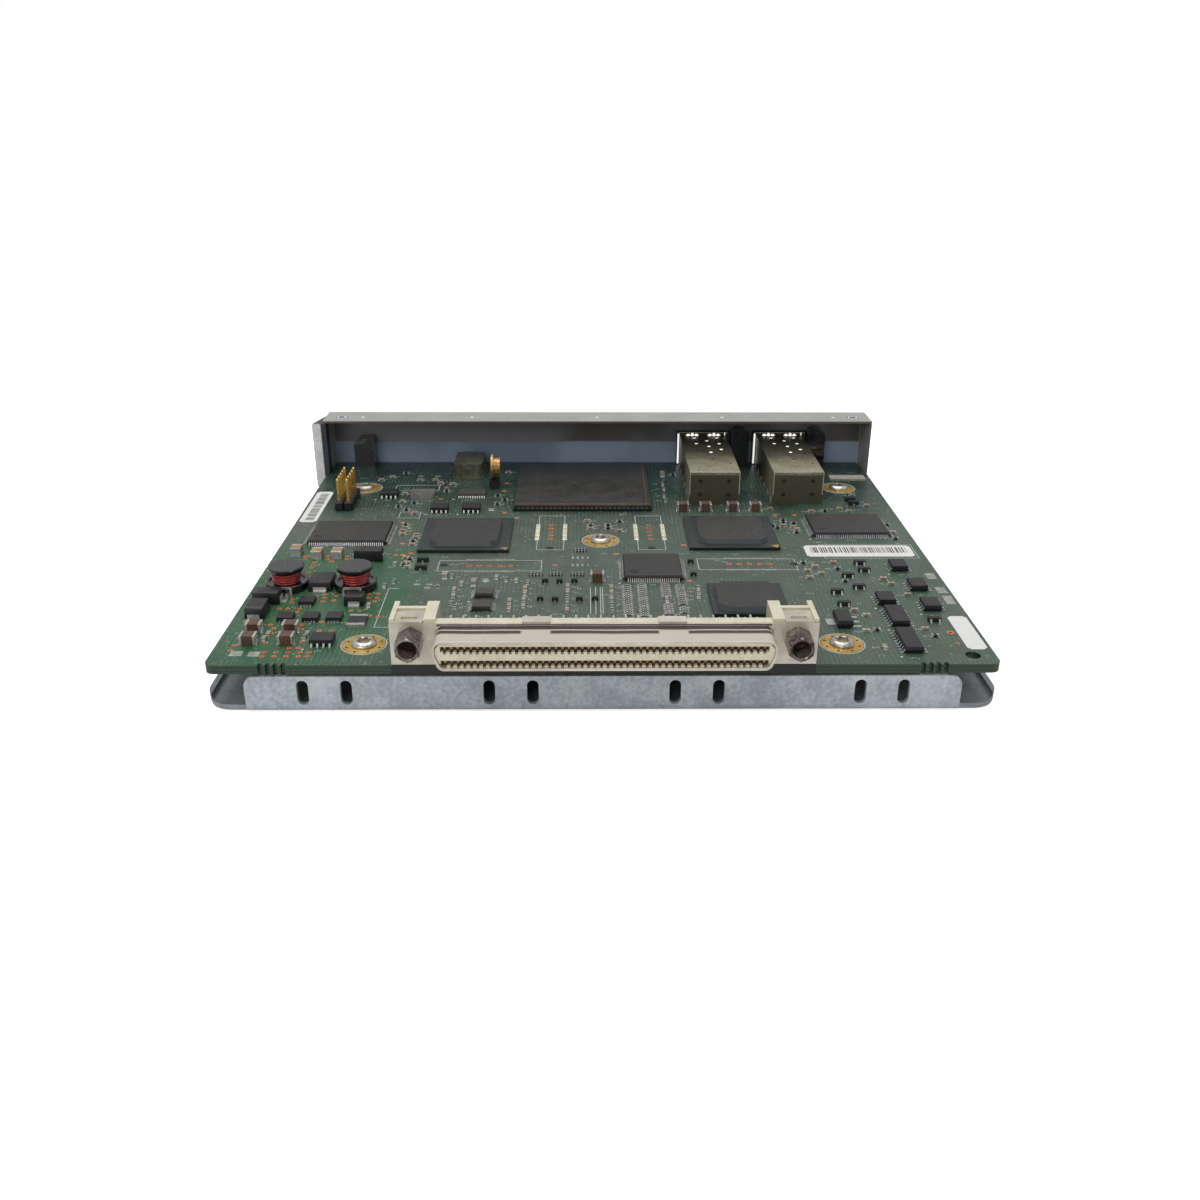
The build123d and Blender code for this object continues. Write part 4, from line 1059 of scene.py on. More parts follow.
def dress(finish: Finish, *nodes: str) -> None:
    """Gives nodes of the model a finish.

    Args:
        finish: the finish.
        nodes: the nodes' names.
    """
    for node in nodes:
        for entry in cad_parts[node].material_slots:
            entry.material = finish.material()
        LOG.info("%s: dressed in %s", node, finish.name)


def spot(x: float, y: float, z: float = TOP, turn: float = 0.0) -> Matrix:
    """Gives the placement of a copy at a point, turned about Z by degrees."""
    return Matrix.Translation((x, y, z)) @ Matrix.Rotation(math.radians(turn), 4, "Z")


@dataclass(frozen=True)
class LeadShape:
    """A bent metal lead: a foot on the board, a riser and a shoulder into the package."""

    width: float
    foot: float
    riser: float
    shoulder: float
    rise: float
    thick: float = 0.15

    def pattern(self) -> Stock:
        """Builds the lead with its shoulder's end at the origin and its foot out along +Y.

        Returns:
            The lead as a stock.
        """
        stock = Stock()
        out = self.shoulder + self.riser + self.foot / 2
        stock.block((0, out, 0), (self.width, self.foot, self.thick))
        steps = ((0.0, -self.riser, self.rise), (0.0, -self.shoulder, 0.0))
        for step in steps:
            end = min(stock.bm.faces, key=lambda f: f.calc_center_median().y)
            new = bmesh.ops.extrude_discrete_faces(stock.bm, faces=[end])["faces"][0]
            bmesh.ops.translate(stock.bm, vec=step, verts=new.verts[:])
        bmesh.ops.recalc_face_normals(stock.bm, faces=stock.bm.faces)
        return stock

    def row(self, centre: Point, half: float, count: int, pitch: float, side: Side) -> list[Matrix]:
        """Places a row of leads along one side of a package.

        Args:
            centre: the package's centre.
            half: the distance from the centre to the body's side.
            count: how many leads the row has.
            pitch: their pitch.
            side: the side they leave from.

        Returns:
            The place of each lead.
        """
        base = spot(centre[0], centre[1], TOP, side.value)
        return [base @ Matrix.Translation(((i - (count - 1) / 2) * pitch, half, 0)) for i in range(count)]


@dataclass(frozen=True)
class Pack:
    """A leaded package on the board."""

    at: Point
    body: Point
    height: float
    count_x: int
    count_y: int
    pitch: float


@dataclass
class LeadedPackages:
    """Every moulded package with leads: bodies with their leads, parting lines and first-pin dimples."""

    flat_lead: LeadShape = LeadShape(0.22, 0.6, 0.25, 0.35, 0.6)
    small_lead: LeadShape = LeadShape(0.42, 0.55, 0.2, 0.3, 0.55, 0.2)
    fine_lead: LeadShape = LeadShape(0.3, 0.5, 0.2, 0.3, 0.4)
    flat: tuple[Pack, ...] = (
        Pack((-64.4, 5.1), (20.0, 14.0), 1.4, 38, 26, 0.5),
        Pack((65.2, 10.3), (20.0, 14.0), 1.4, 38, 26, 0.5),
        Pack((12.3, -18.1), (14.0, 14.0), 1.4, 25, 25, 0.5))
    small: tuple[Pack, ...] = (
        *[Pack(at, (4.9, 3.9), 1.45, 4, 0, 1.27)
          for at in ((-58.9, -57.3), (-59.2, 36.1), (-43.7, 24.1), (-35.0, 24.1))],
        *[Pack(at, (3.9, 4.9), 1.45, 0, 4, 1.27)
          for at in ((72.0, -17.2), (73.6, -29.0), (73.7, -40.0), (64.3, -36.8))],
        Pack((64.6, -46.1), (3.9, 8.65), 1.45, 0, 7, 1.27), Pack((64.2, -58.1), (3.9, 9.9), 1.45, 0, 8, 1.27))
    thin: tuple[Pack, ...] = (Pack((-35.9, 36.7), (7.8, 4.4), 1.0, 12, 0, 0.65),)
    grey: tuple[Pack, ...] = (
        Pack((-26.9, -32.9), (4.4, 5.0), 1.0, 0, 7, 0.65), Pack((-27.0, -40.0), (4.4, 5.0), 1.0, 0, 7, 0.65))
    transistors: tuple[Point, ...] = (
        (72.6, -47.3), (63.3, -14.7), (63.4, -19.2), (58.8, -22.6), (60.0, -29.3), (54.3, -32.1),
        (54.5, -38.8))
    switches: tuple[Point, ...] = (
        (-66.5, -37.1), (-69.3, -45.6), (-63.8, -45.6), (-58.7, -45.6))
    gap: float = 0.1
    draft: float = 0.965
    lead_in: float = 0.1
    transistor_half: float = 0.55
    transistor_pitch: float = 1.9
    switch_pad: Triple = (0.36, 0.7, 0.22)
    switch_pitch: float = 0.66
    switch_reach: float = 1.85
    dimple_in: float = 0.18
    dimple_r: float = 0.09

    def _bodies(self, packs: tuple[Pack, ...], bevel: float) -> Stock:
        """Builds drafted bodies, parted at their middle height.

        Args:
            packs: the packages.
            bevel: the width of their rounded edges.

        Returns:
            The bodies as a stock.
        """
        stock = Stock()
        for pack in packs:
            foot = TOP + self.gap
            half = pack.height / 2
            verts_before = len(stock.bm.verts)
            stock.block((*pack.at, foot + half), (*pack.body, half), top=self.draft)
            stock.bm.verts.ensure_lookup_table()
            around = {f for v in stock.bm.verts[verts_before:] for f in v.link_faces}
            low = [f for f in around if all(v.co.z < foot + half + 0.01 for v in f.verts)]
            centre = Matrix.Translation((-pack.at[0], -pack.at[1], 0))
            for face in bmesh.ops.extrude_discrete_faces(stock.bm, faces=low)["faces"]:
                bmesh.ops.translate(stock.bm, vec=(0, 0, -half), verts=face.verts[:])
                bmesh.ops.scale(stock.bm, vec=(self.draft, self.draft, 1), space=centre, verts=face.verts[:])
        bmesh.ops.recalc_face_normals(stock.bm, faces=stock.bm.faces)
        return stock.bevel(bevel, 1, 50.0)

    def _rows(self, lead: LeadShape, packs: tuple[Pack, ...], stock: Stock) -> None:
        """Adds the leads of some packages to a stock.

        Args:
            lead: the shape of a lead.
            packs: the packages.
            stock: what the leads are added to.
        """
        pattern = lead.pattern()
        for pack in packs:
            for count, half, sides in ((pack.count_x, pack.body[1] / 2, (Side.FAR, Side.NEAR)),
                                       (pack.count_y, pack.body[0] / 2, (Side.LEFT, Side.RIGHT))):
                for side in sides:
                    places = lead.row(pack.at, half - self.lead_in, count, pack.pitch, side)
                    stock.stamp(pattern, places)

    def build(self) -> None:
        """Builds the bodies, the leads and the first-pin dimples."""
        self._bodies(self.flat, 0.1).made("flat_package_bodies", Finishes.PACK, "black_moulding",
                                          ("quad_flat_packs",))
        self._bodies(self.small, 0.08).made("small_package_bodies", Finishes.BLACK, "black_moulding",
                                            ("small_outline_packs",))
        leads = Stock()
        self._rows(self.flat_lead, self.flat, leads)
        self._rows(self.small_lead, self.small, leads)
        self._rows(self.fine_lead, self.thin + self.grey, leads)
        outer = self.small_lead.pattern()
        for at in self.transistors:
            for count, side in ((2, Side.NEAR), (1, Side.FAR)):
                leads.stamp(outer, self.small_lead.row(at, self.transistor_half, count, self.transistor_pitch,
                                                       side))
        for x, y in self.switches:
            for i in range(4):
                for side in (-1, 1):
                    leads.block((x + (i - 1.5) * self.switch_pitch, y + side * self.switch_reach, TOP),
                                self.switch_pad)
        leads.made("package_leads", Finishes.TIN, "tinned_lead")
        dimples = Stock()
        for pack in self.flat + self.small + self.thin + self.grey:
            inset = self.dimple_in * min(pack.body)
            radius = self.dimple_r * min(pack.body)
            level = TOP + self.gap + pack.height
            x = pack.at[0] - pack.body[0] / 2 + inset
            y = pack.at[1] - pack.body[1] / 2 + inset
            dimples.lathe([(0.0, level + 0.004), (radius * 0.8, level + 0.012), (radius, level - 0.02),
                           (0.0, level - 0.02)], (x, y, 0), 12)
        dimples.made("first_pin_dimples", Finishes.HOLLOW_SHADE, "black_moulding")
        dress(Finishes.GREY, "thin_packs")
        dress(Finishes.BLACK, "small_transistors", "power_switches", "regulator_body")
        dress(Finishes.TIN, "regulator_leads")


@dataclass
class GridArrayChips:
    """The large chips: a lidded one and three moulded ones, on grids of solder balls."""

    moulded: tuple[tuple[Point, float], ...] = (
        ((-34.4, 4.3), 23.0), ((33.9, 5.8), 23.0), ((33.0, -36.6), 17.0))
    framer_at: Point = (-4.5, 42.4)
    framer_size: float = 38.4
    pitch: float = 1.27
    ball: float = 0.3
    ball_squash: float = 0.55
    gap: float = 0.3
    base_t: float = 0.5
    lid_t: float = 0.8
    edge_in: float = 0.9
    corner_r: float = 1.25
    corner_in: float = 1.15
    edge_pads: int = 29
    edge_pad_pitch: float = 1.25

    def _edge_places(self, centre: Point, size: float) -> list[Matrix]:
        """Places balls along the four sides of a substrate.

        Args:
            centre: the substrate's centre.
            size: its side.

        Returns:
            The place of each ball.
        """
        count = int((size - 2 * self.edge_in) / self.pitch) + 1
        reach = (count - 1) / 2 * self.pitch
        places = []
        for i in range(count):
            along = -reach + i * self.pitch
            for x, y in ((along, -reach), (along, reach), (-reach, along), (reach, along)):
                places.append(Matrix.Translation((centre[0] + x, centre[1] + y, TOP + self.gap / 2)))
        return places

    def build(self) -> None:
        """Builds the balls, the substrate pads and the lid's border."""
        ball = Stock()
        bmesh.ops.create_icosphere(ball.bm, subdivisions=1, radius=self.ball)
        bmesh.ops.scale(ball.bm, vec=(1, 1, self.ball_squash), verts=ball.bm.verts)
        balls = Stock()
        for centre, size in [*self.moulded, (self.framer_at, self.framer_size)]:
            balls.stamp(ball, self._edge_places(centre, size))
        balls.made("chip_solder_balls", Finishes.SOLDER, "tinned_lead")
        marks = Stock()
        level = TOP + self.gap + self.base_t
        for (x, y), size in self.moulded:
            reach = size / 2 - self.corner_in
            corner = Stock()
            bmesh.ops.create_cone(corner.bm, cap_ends=True, segments=3, radius1=self.corner_r,
                                  radius2=self.corner_r, depth=0.04)
            marks.stamp(corner, [spot(x + reach, y - reach, level, -45.0)])
        marks.made("substrate_corner_marks", Finishes.PAD, "gold_contact")
        border = Stock()
        fx, fy = self.framer_at
        half = self.framer_size / 2 - 1.5
        lid_top = level + self.lid_t
        for across, along, width, depth in ((0, -half, 2 * half, 0.12), (half, 0, 0.06, 2 * half)):
            border.block((fx + across, fy + along, lid_top - 0.02), (width, depth, 0.035))
        border.made("lid_copper_line", Finishes.COPPER, "lid_metal")
        pads = Stock()
        edge = self.framer_size / 2 - 0.22
        for i in range(self.edge_pads):
            along = (i - (self.edge_pads - 1) / 2) * self.edge_pad_pitch
            pads.block((fx + along, fy - edge, level - 0.01), (0.55, 0.22, 0.05))
        pads.made("substrate_edge_pads", Finishes.TIN, "tinned_lead")
        dress(Finishes.LAMINATE, "framer_chip_base", "grid_chip_bases")
        dress(Finishes.LID, "framer_chip_lid")
        dress(Finishes.GRID_CHIP, "grid_chip_moulds")


@dataclass
class ScrewHeads:
    """The board's pan-head screws and the gold rings that they sit on."""

    head_r: float = 2.6
    head_h: float = 1.1
    recess_r: float = 1.35
    recess_d: float = 0.75
    shank_r: float = 1.45
    shank_l: float = 6.5
    ring_in: float = 1.8
    ring_out: float = 4.5
    print_in: float = 4.65
    print_out: float = 4.83
    dots: int = 8
    dot_at: float = 3.7
    dot_r: float = 0.3
    lobe: float = 0.13

    def _head(self) -> Stock:
        """Turns one screw with a six-lobed recess.

        Returns:
            The screw as a stock, standing on the origin.
        """
        stock = Stock()
        profile = [(0.0, self.head_h - self.recess_d), (self.recess_r, self.head_h - self.recess_d),
                   (self.recess_r, self.head_h - 0.12), (self.recess_r + 0.15, self.head_h),
                   (self.head_r - 0.75, self.head_h), (self.head_r - 0.25, self.head_h - 0.3),
                   (self.head_r, self.head_h - 0.65), (self.head_r, 0.1), (self.head_r - 0.1, 0.0),
                   (self.shank_r - 0.05, 0.0), (self.shank_r - 0.05, -self.shank_l), (0.0, -self.shank_l)]
        stock.lathe(profile, (0, 0, 0), 24)
        inner = [v for v in stock.bm.verts
                 if 0.1 < v.co.xy.length < self.recess_r + 0.05 and 0 < v.co.z < self.head_h]
        for v in inner:
            v.co.xy = v.co.xy * (1.0 + self.lobe * math.cos(6 * math.atan2(v.co.y, v.co.x)))
        return stock

    def build(self) -> None:
        """Builds the screws, their recess floors, the gold rings, the dots and the printed circles."""
        head = self._head()
        screws, floors, rings, dots, circles = Stock(), Stock(), Stock(), Stock(), Stock()
        screws.stamp(head, [spot(x, y, TOP, 17.0 * i) for i, (x, y) in enumerate(SCREW_PLACES)])
        screws.made("board_pan_screws", Finishes.STEEL, "screw_steel", ("board_screws",), smooth=True)
        level = TOP + self.head_h - self.recess_d
        for x, y in SCREW_PLACES:
            floors.lathe([(0.0, level + 0.25), (0.7, level + 0.02), (0.95, level - 0.03),
                          (0.0, level - 0.03)], (x, y, 0), 12)
            for stock, inner, outer, upper in ((rings, self.ring_in, self.ring_out, TOP + 0.04),
                                               (circles, self.print_in, self.print_out, TOP + 0.025)):
                stock.lathe([(inner, TOP - SINK), (outer, TOP - SINK), (outer, upper), (inner, upper)],
                            (x, y, 0), 40, closed=True)
            for i in range(self.dots):
                angle = 2 * math.pi * (i + 0.5) / self.dots
                dots.post((x + self.dot_at * math.cos(angle), y + self.dot_at * math.sin(angle), TOP),
                          self.dot_r, 0.06, 10)
        floors.made("screw_recess_floors", Finishes.PAD, "gold_contact")
        rings.made("screw_ring_pads", Finishes.PAD, "gold_contact")
        dots.made("ring_pad_holes", Finishes.HOLLOW_SHADE, "black_moulding")
        circles.made("ring_print", Finishes.SILK, "label_white")


@dataclass
class PowerSection:
    """The wound inductors and the moulded parts round them."""

    inductors: tuple[Point, ...] = ((-73.0, -28.2), (-57.1, -28.3))
    base_r: float = 4.9
    base_h: float = 1.9
    top_r: float = 4.15
    top_t: float = 0.95
    height: float = 5.5
    coil_r: float = 3.25
    wire_r: float = 0.44
    turns: int = 4
    tantalums: tuple[Box, ...] = (
        (-76.0, -43.6, 4.2, 6.3), (-75.6, -36.4, 6.2, 3.8), (-57.0, -11.3, 7.2, 3.4))
    tantalum_h: float = 2.85
    diodes: tuple[Box, ...] = (
        (-65.0, -27.7, 5.5, 6.6), (-55.7, -37.3, 4.6, 3.5))
    diode_h: float = 2.3
    sense_at: Point = (-53.4, -47.5)

    def _inductors(self) -> None:
        """Builds the cups, drums and wire turns."""
        cups, drums, wire = Stock(), Stock(), Stock()
        for x, y in self.inductors:
            cups.lathe([(0.0, TOP), (self.base_r - 0.2, TOP), (self.base_r, TOP + 0.2),
                        (self.base_r, TOP + self.base_h - 0.2), (self.base_r - 0.2, TOP + self.base_h),
                        (self.base_r - 0.75, TOP + self.base_h - 0.05), (self.base_r - 0.9, TOP + 1.5),
                        (self.coil_r - 0.3, TOP + 1.4), (0.0, TOP + 1.4)], (x, y, 0), 32)
            high = TOP + self.height
            low = high - self.top_t
            drums.lathe([(0.0, TOP + 1.3), (1.8, TOP + 1.3), (1.8, low), (self.top_r - 0.1, low),
                         (self.top_r, low + 0.12), (self.top_r, high - 0.22), (self.top_r - 0.22, high),
                         (0.8, high), (0.7, high - 0.08), (0.0, high - 0.08)], (x, y, 0), 32)
            for i in range(self.turns):
                level = TOP + 1.85 + i * (low - TOP - 2.25) / (self.turns - 1)
                reach = self.coil_r - 0.22 * (self.turns - 1 - i)
                ring = [(reach + self.wire_r * math.cos(a), self.wire_r * math.sin(a))
                        for a in (2 * math.pi * k / 8 for k in range(8))]
                tilt = Matrix.Rotation(math.radians(3.0 + i), 4, "X") @ Matrix.Rotation(0.9 * i, 4, "Z")
                wire.lathe(ring, (x, y, level), 28, closed=True, tilt=tilt)
        cups.made("inductor_cups", Finishes.FERRITE, "ferrite", ("inductor_bases",), smooth=True)
        drums.made("inductor_drums", Finishes.FERRITE, "ferrite", ("inductor_cores",), smooth=True)
        wire.made("inductor_wire", Finishes.WIRE, "winding", ("inductor_windings",), smooth=True)
        dress(Finishes.TIN, "inductor_clips")

    def _moulded(self) -> None:
        """Builds the moulded capacitors and diodes, their tabs and their stripes."""
        bodies, tabs, stripes = Stock(), Stock(), Stock()
        for x, y, w, d in self.tantalums:
            bodies.block((x, y, TOP + 0.1), (w, d, self.tantalum_h - 0.1), 0.93)
            along_x = w > d
            for side in (-1, 1):
                at = (x + side * (w / 2 + 0.06), y) if along_x else (x, y + side * (d / 2 + 0.06))
                size = (0.2, d * 0.62, 1.5) if along_x else (w * 0.62, 0.2, 1.5)
                tabs.block((*at, TOP), size)
            at = (x - w * 0.36, y) if along_x else (x, y - d * 0.36)
            size = (w * 0.12, d * 0.9, 0.02) if along_x else (w * 0.9, d * 0.12, 0.02)
            stripes.block((*at, TOP + self.tantalum_h - 0.005), size)
        for x, y, w, d in self.diodes:
            bodies.block((x, y, TOP + 0.1), (w, d, self.diode_h - 0.1), 0.93)
            for side in (-1, 1):
                tabs.block((x, y + side * (d / 2 + 0.3), TOP), (w * 0.55, 0.9, 0.3))
                tabs.block((x, y + side * (d / 2 + 0.02), TOP), (w * 0.55, 0.2, 1.1))
        bodies.bevel(0.15, 2).made("moulded_power_bodies", Finishes.BLACK, "black_moulding",
                                   ("tantalum_capacitors", "power_diodes"), smooth=True)
        tabs.made("power_part_tabs", Finishes.TIN, "tinned_lead")
        stripes.made("polarity_stripes", Finishes.GREY, "grey_moulding")

    def build(self) -> None:
        """Builds every piece of the section."""
        self._inductors()
        self._moulded()
        dress(Finishes.RESISTOR, "sense_resistor")
        ends = Stock()
        x, y = self.sense_at
        for side in (-1, 1):
            ends.block((x, y + side * 2.25, TOP), (4.0, 1.0, 0.76))
        ends.made("sense_resistor_ends", Finishes.SOLDER, "tinned_lead")


@dataclass
class ChipCapacitors:
    """The larger ceramic chips with rounded plated ends."""

    tan: tuple[Point, ...] = ((-75.5, -7.8), (-70.0, -9.8), (-65.0, -9.8))
    brown: tuple[Point, ...] = (
        (-74.6, -51.7), (-74.3, -57.4), (-66.8, -51.7), (-66.4, -57.3), (23.0, 24.3), (29.2, 24.3),
        (36.7, 24.3), (42.9, 24.3), (-1.0, -24.4))
    length: float = 3.3
    width: float = 2.7
    end: float = 0.55
    tan_h: float = 2.05
    brown_h: float = 2.15

    def build(self) -> None:
        """Builds the rounded ends and dresses the ceramic bodies."""
        ends, fillets = Stock(), Stock()
        for places, height, turn in ((self.tan, self.tan_h, 90.0), (self.brown, self.brown_h, 0.0)):
            for x, y in places:
                for side in (-1, 1):
                    offset = Matrix.Rotation(math.radians(turn), 3, "Z") @ Vector(
                        (side * (self.length - self.end) / 2, 0, 0))
                    at = (x + offset.x, y + offset.y, TOP)
                    ends.block(at, (self.end, self.width, height), 1.0, turn)
                    out = offset.normalized() * 0.32
                    fillets.block((at[0] + out.x, at[1] + out.y, TOP - SINK),
                                  (0.5, self.width * 0.92, 0.55), 0.55, turn)
        ends.bevel(0.1, 1).made("plated_ends", Finishes.TIN, "tinned_lead", ("capacitor_end_caps",))
        fillets.made("solder_fillets", Finishes.SOLDER, "tinned_lead")
        dress(Finishes.TAN, "tan_capacitor_bodies")
        dress(Finishes.BROWN, "brown_capacitor_bodies")


@dataclass
class RearConnector:
    """The shielded two-slot connector: shell, ivory body, contacts, tails and threaded sockets."""

    positions: int = 50
    pitch: float = 1.27
    tail_w: float = 0.4
    tail_t: float = 0.2
    lower_tail: Triple = (0.4, 1.2, 1.1)
    lower_tail_y: float = -64.35
    socket_flats: float = 4.75
    socket_l: float = 5.6
    bore_r: float = 1.9
    bore_l: float = 5.0
    threads: int = 7
    thread_pitch: float = 0.62
    thread_d: float = 0.16
    mouth_y: float = -74.9
    slot_z: Point = (4.13, 7.13)
    shade: Triple = (63.9, 4.4, 1.7)
    tip: Triple = (0.26, 0.5, 0.7)
    body_back_y: float = -64.95
    tail_top: float = 8.3
    tail_reach: Point = (3.4, 2.2)

    def _sockets(self) -> Stock:
        """Turns the threaded sockets from a hexagon with a chamfered mouth.

        Returns:
            Both sockets as a stock.
        """
        stock = Stock()
        across = self.socket_flats / 2 / math.cos(math.pi / 6)
        profile = [(across, 0.0), (across, self.socket_l - 0.32), (across - 0.32, self.socket_l),
                   (self.bore_r + 0.3, self.socket_l)]
        for i in range(self.threads):
            level = self.socket_l - 0.3 - i * self.thread_pitch
            profile += [(self.bore_r, level), (self.bore_r + self.thread_d, level - self.thread_pitch / 2)]
        floor = self.socket_l - self.bore_l
        profile += [(self.bore_r, floor), (0.0, floor), (0.0, 0.0)]
        part = Stock()
        part.lathe(profile, (0, 0, 0), 48)
        for v in part.bm.verts:
            radius = v.co.xy.length
            if radius > self.bore_r + 0.45:
                angle = (math.atan2(v.co.y, v.co.x) + math.pi / 6) % (math.pi / 3) - math.pi / 6
                flat = self.socket_flats / 2 / math.cos(angle)
                v.co.xy = v.co.xy * min(1.0, flat / radius)
        turn = Matrix.Rotation(math.radians(90), 4, "X")
        for side in (-1, 1):
            stock.stamp(part, [Matrix.Translation((side * SOCKET_X, PLATE_FRONT, SOCKET_Z)) @ turn])
        return stock

    def build(self) -> None:
        """Builds the sockets, the bent tails, the pads, the slots' shade and the contact tips."""
        self._sockets().made("threaded_sockets", Finishes.NUT, "nickel_shell", ("guide_sockets",),
                             smooth=True)
        columns = [(i - (self.positions - 1) / 2) * self.pitch for i in range(self.positions)]
        tails, wires, pads = Stock(), Stock(), Stock()
        for i, x in enumerate(columns):
            reach = self.tail_reach[i % 2]
            wires.block((x, self.body_back_y + reach / 2, TOP + self.tail_top - self.tail_t),
                        (self.tail_w, reach, self.tail_t))
            wires.block((x, self.body_back_y + reach - self.tail_t / 2, TOP),
                        (self.tail_w, self.tail_t, self.tail_top - self.tail_t / 2))
            tails.block((x + self.pitch / 2, self.lower_tail_y, TOP), self.lower_tail, 0.8)
            for y in (self.body_back_y + reach, self.lower_tail_y + 0.05):
                pads.post((x, y, TOP - SINK), 0.48, 0.08, 10)
        wires.made("bent_solder_tails", Finishes.TIN, "tinned_lead", ("rear_connector_tails",))
        # Dark blocks in the slots stand for their shade, as painted shade behind the contact tips.
        shades, tips = Stock(), Stock()
        for level in self.slot_z:
            shades.block((0, self.mouth_y + 3.2, TOP + level - 1.1), self.shade)
            for x in columns:
                tips.block((x, self.mouth_y + 0.75, TOP + level - 0.22), self.tip, 2.3)
        shades.made("painted_shade_in_slots", Finishes.SHADE, "ivory_moulding")
        tips.made("contact_tips", Finishes.GOLD, "gold_contact")
        tails.made("lower_solder_tails", Finishes.TIN, "tinned_lead")
        pads.made("tail_pads", Finishes.SOLDER, "tinned_lead")
        dress(Finishes.NICKEL, "rear_connector_shell")
        dress(Finishes.IVORY, "rear_connector_housing")
        dress(Finishes.GOLD, "rear_connector_lower_contacts", "rear_connector_upper_contacts")


@dataclass
class ModuleCages:
    """The two pressed cages with painted highlights on their folds, painted glow in their open holes and
    gaps, painted shade in their dark holes, and their pins, fingers and sockets.
    """

    centres: Point = (32.1, 55.35)
    width: float = 14.0
    height: float = 9.1
    back_y: float = 29.4
    collar_y: float = 65.7
    skin: float = 0.05
    press_pins: int = 6
    press_pitch: float = 6.2
    lit: tuple[Point, ...] = ((-2.9, 62.9), (3.9, 63.1), (0.6, 60.0), (-2.8, 57.2), (4.0, 57.1), (0.7, 54.3),
                              (4.0, 51.2), (0.7, 48.4))
    unlit: tuple[Point, ...] = ((3.6, 44.6), (0.2, 41.2))
    back_holes: tuple[float, float] = (2.7, 6.6)

    def build(self) -> None:
        """Builds the painted fold highlights, the pins, the glowing gaps and holes and the shaded holes, and
        dresses the cages.
        """
        folds, pins, holes, gaps, dark = Stock(), Stock(), Stock(), Stock(), Stock()
        top = TOP + self.height
        half = self.width / 2
        collar = self.collar_y - 0.03
        upright = Matrix.Rotation(math.radians(90), 4, "X")
        for x in self.centres:
            # Painted highlights along the cages' folded edges.
            folds.block((x, self.back_y + 0.28, top - 0.005), (self.width - 0.3, 0.5, 0.035))
            for side in (-1, 1):
                folds.block((x + side * (half - 0.14), self.back_y - 0.012, TOP + 2.6),
                            (0.26, self.skin, 6.4))
                for i in range(self.press_pins):
                    y = self.back_y + 3.0 + self.press_pitch * i
                    pins.block((x + side * (half + 0.02), y, TOP - SINK), (0.3, 0.9, 1.1), 0.7)
                # Painted glow in the gaps between the cages and the panel's opening.
                for along in (-1, 0, 1):
                    gaps.block((x + side * 3.3 + along * 1.25, collar, top + 0.05),
                               (0.75, self.skin, 0.75 - 0.25 * abs(along)))
                gaps.block((x + side * 3.3, collar, top + 0.03), (3.9, self.skin, 0.22))
            gaps.block((x - half - 0.5, collar, TOP + 0.3), (0.55, self.skin, self.height + 0.3))
            folds.block((x, collar, top + 0.82), (self.width + 1.4, self.skin, 0.18))
            gaps.block((x + 6.6, collar, top + 0.1), (0.3, self.skin, 0.85))
            # Painted glow in the holes where the backdrop would show through.
            for across, along in self.lit:
                holes.post((x + across, along, top - 0.02), 0.5, 0.03, 10)
            # Painted shade in the unlit holes and in the holes on the backs.
            for across, along in self.unlit:
                dark.post((x + across, along, top - 0.02), 0.42, 0.03, 10)
            for side in (-1, 1):
                for level in self.back_holes:
                    dark.lathe([(0.0, 0.0), (0.62, 0.0), (0.62, 0.03), (0.0, 0.03)],
                               (x + side * 4.0, self.back_y - 0.005, TOP + level), 12, tilt=upright)
        folds.made("cage_fold_highlights", Finishes.CAGE_FOLD_HIGHLIGHT, "cage_plate")
        pins.made("cage_press_pins", Finishes.TIN, "tinned_lead")
        holes.made("cage_glowing_holes", Finishes.GLOWING_WHITE, "label_white")
        gaps.made("cage_glowing_gaps", Finishes.GLOWING_WHITE, "label_white")
        dark.made("cage_dark_holes", Finishes.HOLLOW_SHADE, "black_moulding")
        dress(Finishes.CAGE, "module_cage_left", "module_cage_right", "module_cage_floors",
              "module_cage_fingers")
        dress(Finishes.BLACK, "module_host_sockets")
        dress(Finishes.LAMP, "port_lamp_housings", "side_lamp_housing")
        dress(Finishes.LENS, "lamp_lenses")
        dress(Finishes.FOAM, "gasket_strip")


@dataclass
class SheetMetal:
    """The tray, faceplate, handle and spring strip, with the tray's pressed studs."""

    stud_r: float = 1.9
    stud_z: Point = (0.003, 0.3)

    def build(self) -> None:
        """Builds the pressed stud heads and dresses the sheets."""
        heads = Stock()
        low, high = self.stud_z
        for x, y in SCREW_PLACES:
            heads.lathe([(0.0, low), (self.stud_r, low), (self.stud_r, high), (0.0, high)], (x, y, 0), 16)
        heads.made("pressed_stud_heads", Finishes.STEEL, "screw_steel")
        for finish, node in ((Finishes.TRAY, "carrier_tray"), (Finishes.STEEL, "tray_standoffs"),
                             (Finishes.PANEL, "faceplate"), (Finishes.HANDLE, "pull_handle"),
                             (Finishes.SPRING, "grounding_spring_strip"), (Finishes.BOARD, "circuit_board")):
            dress(finish, node)


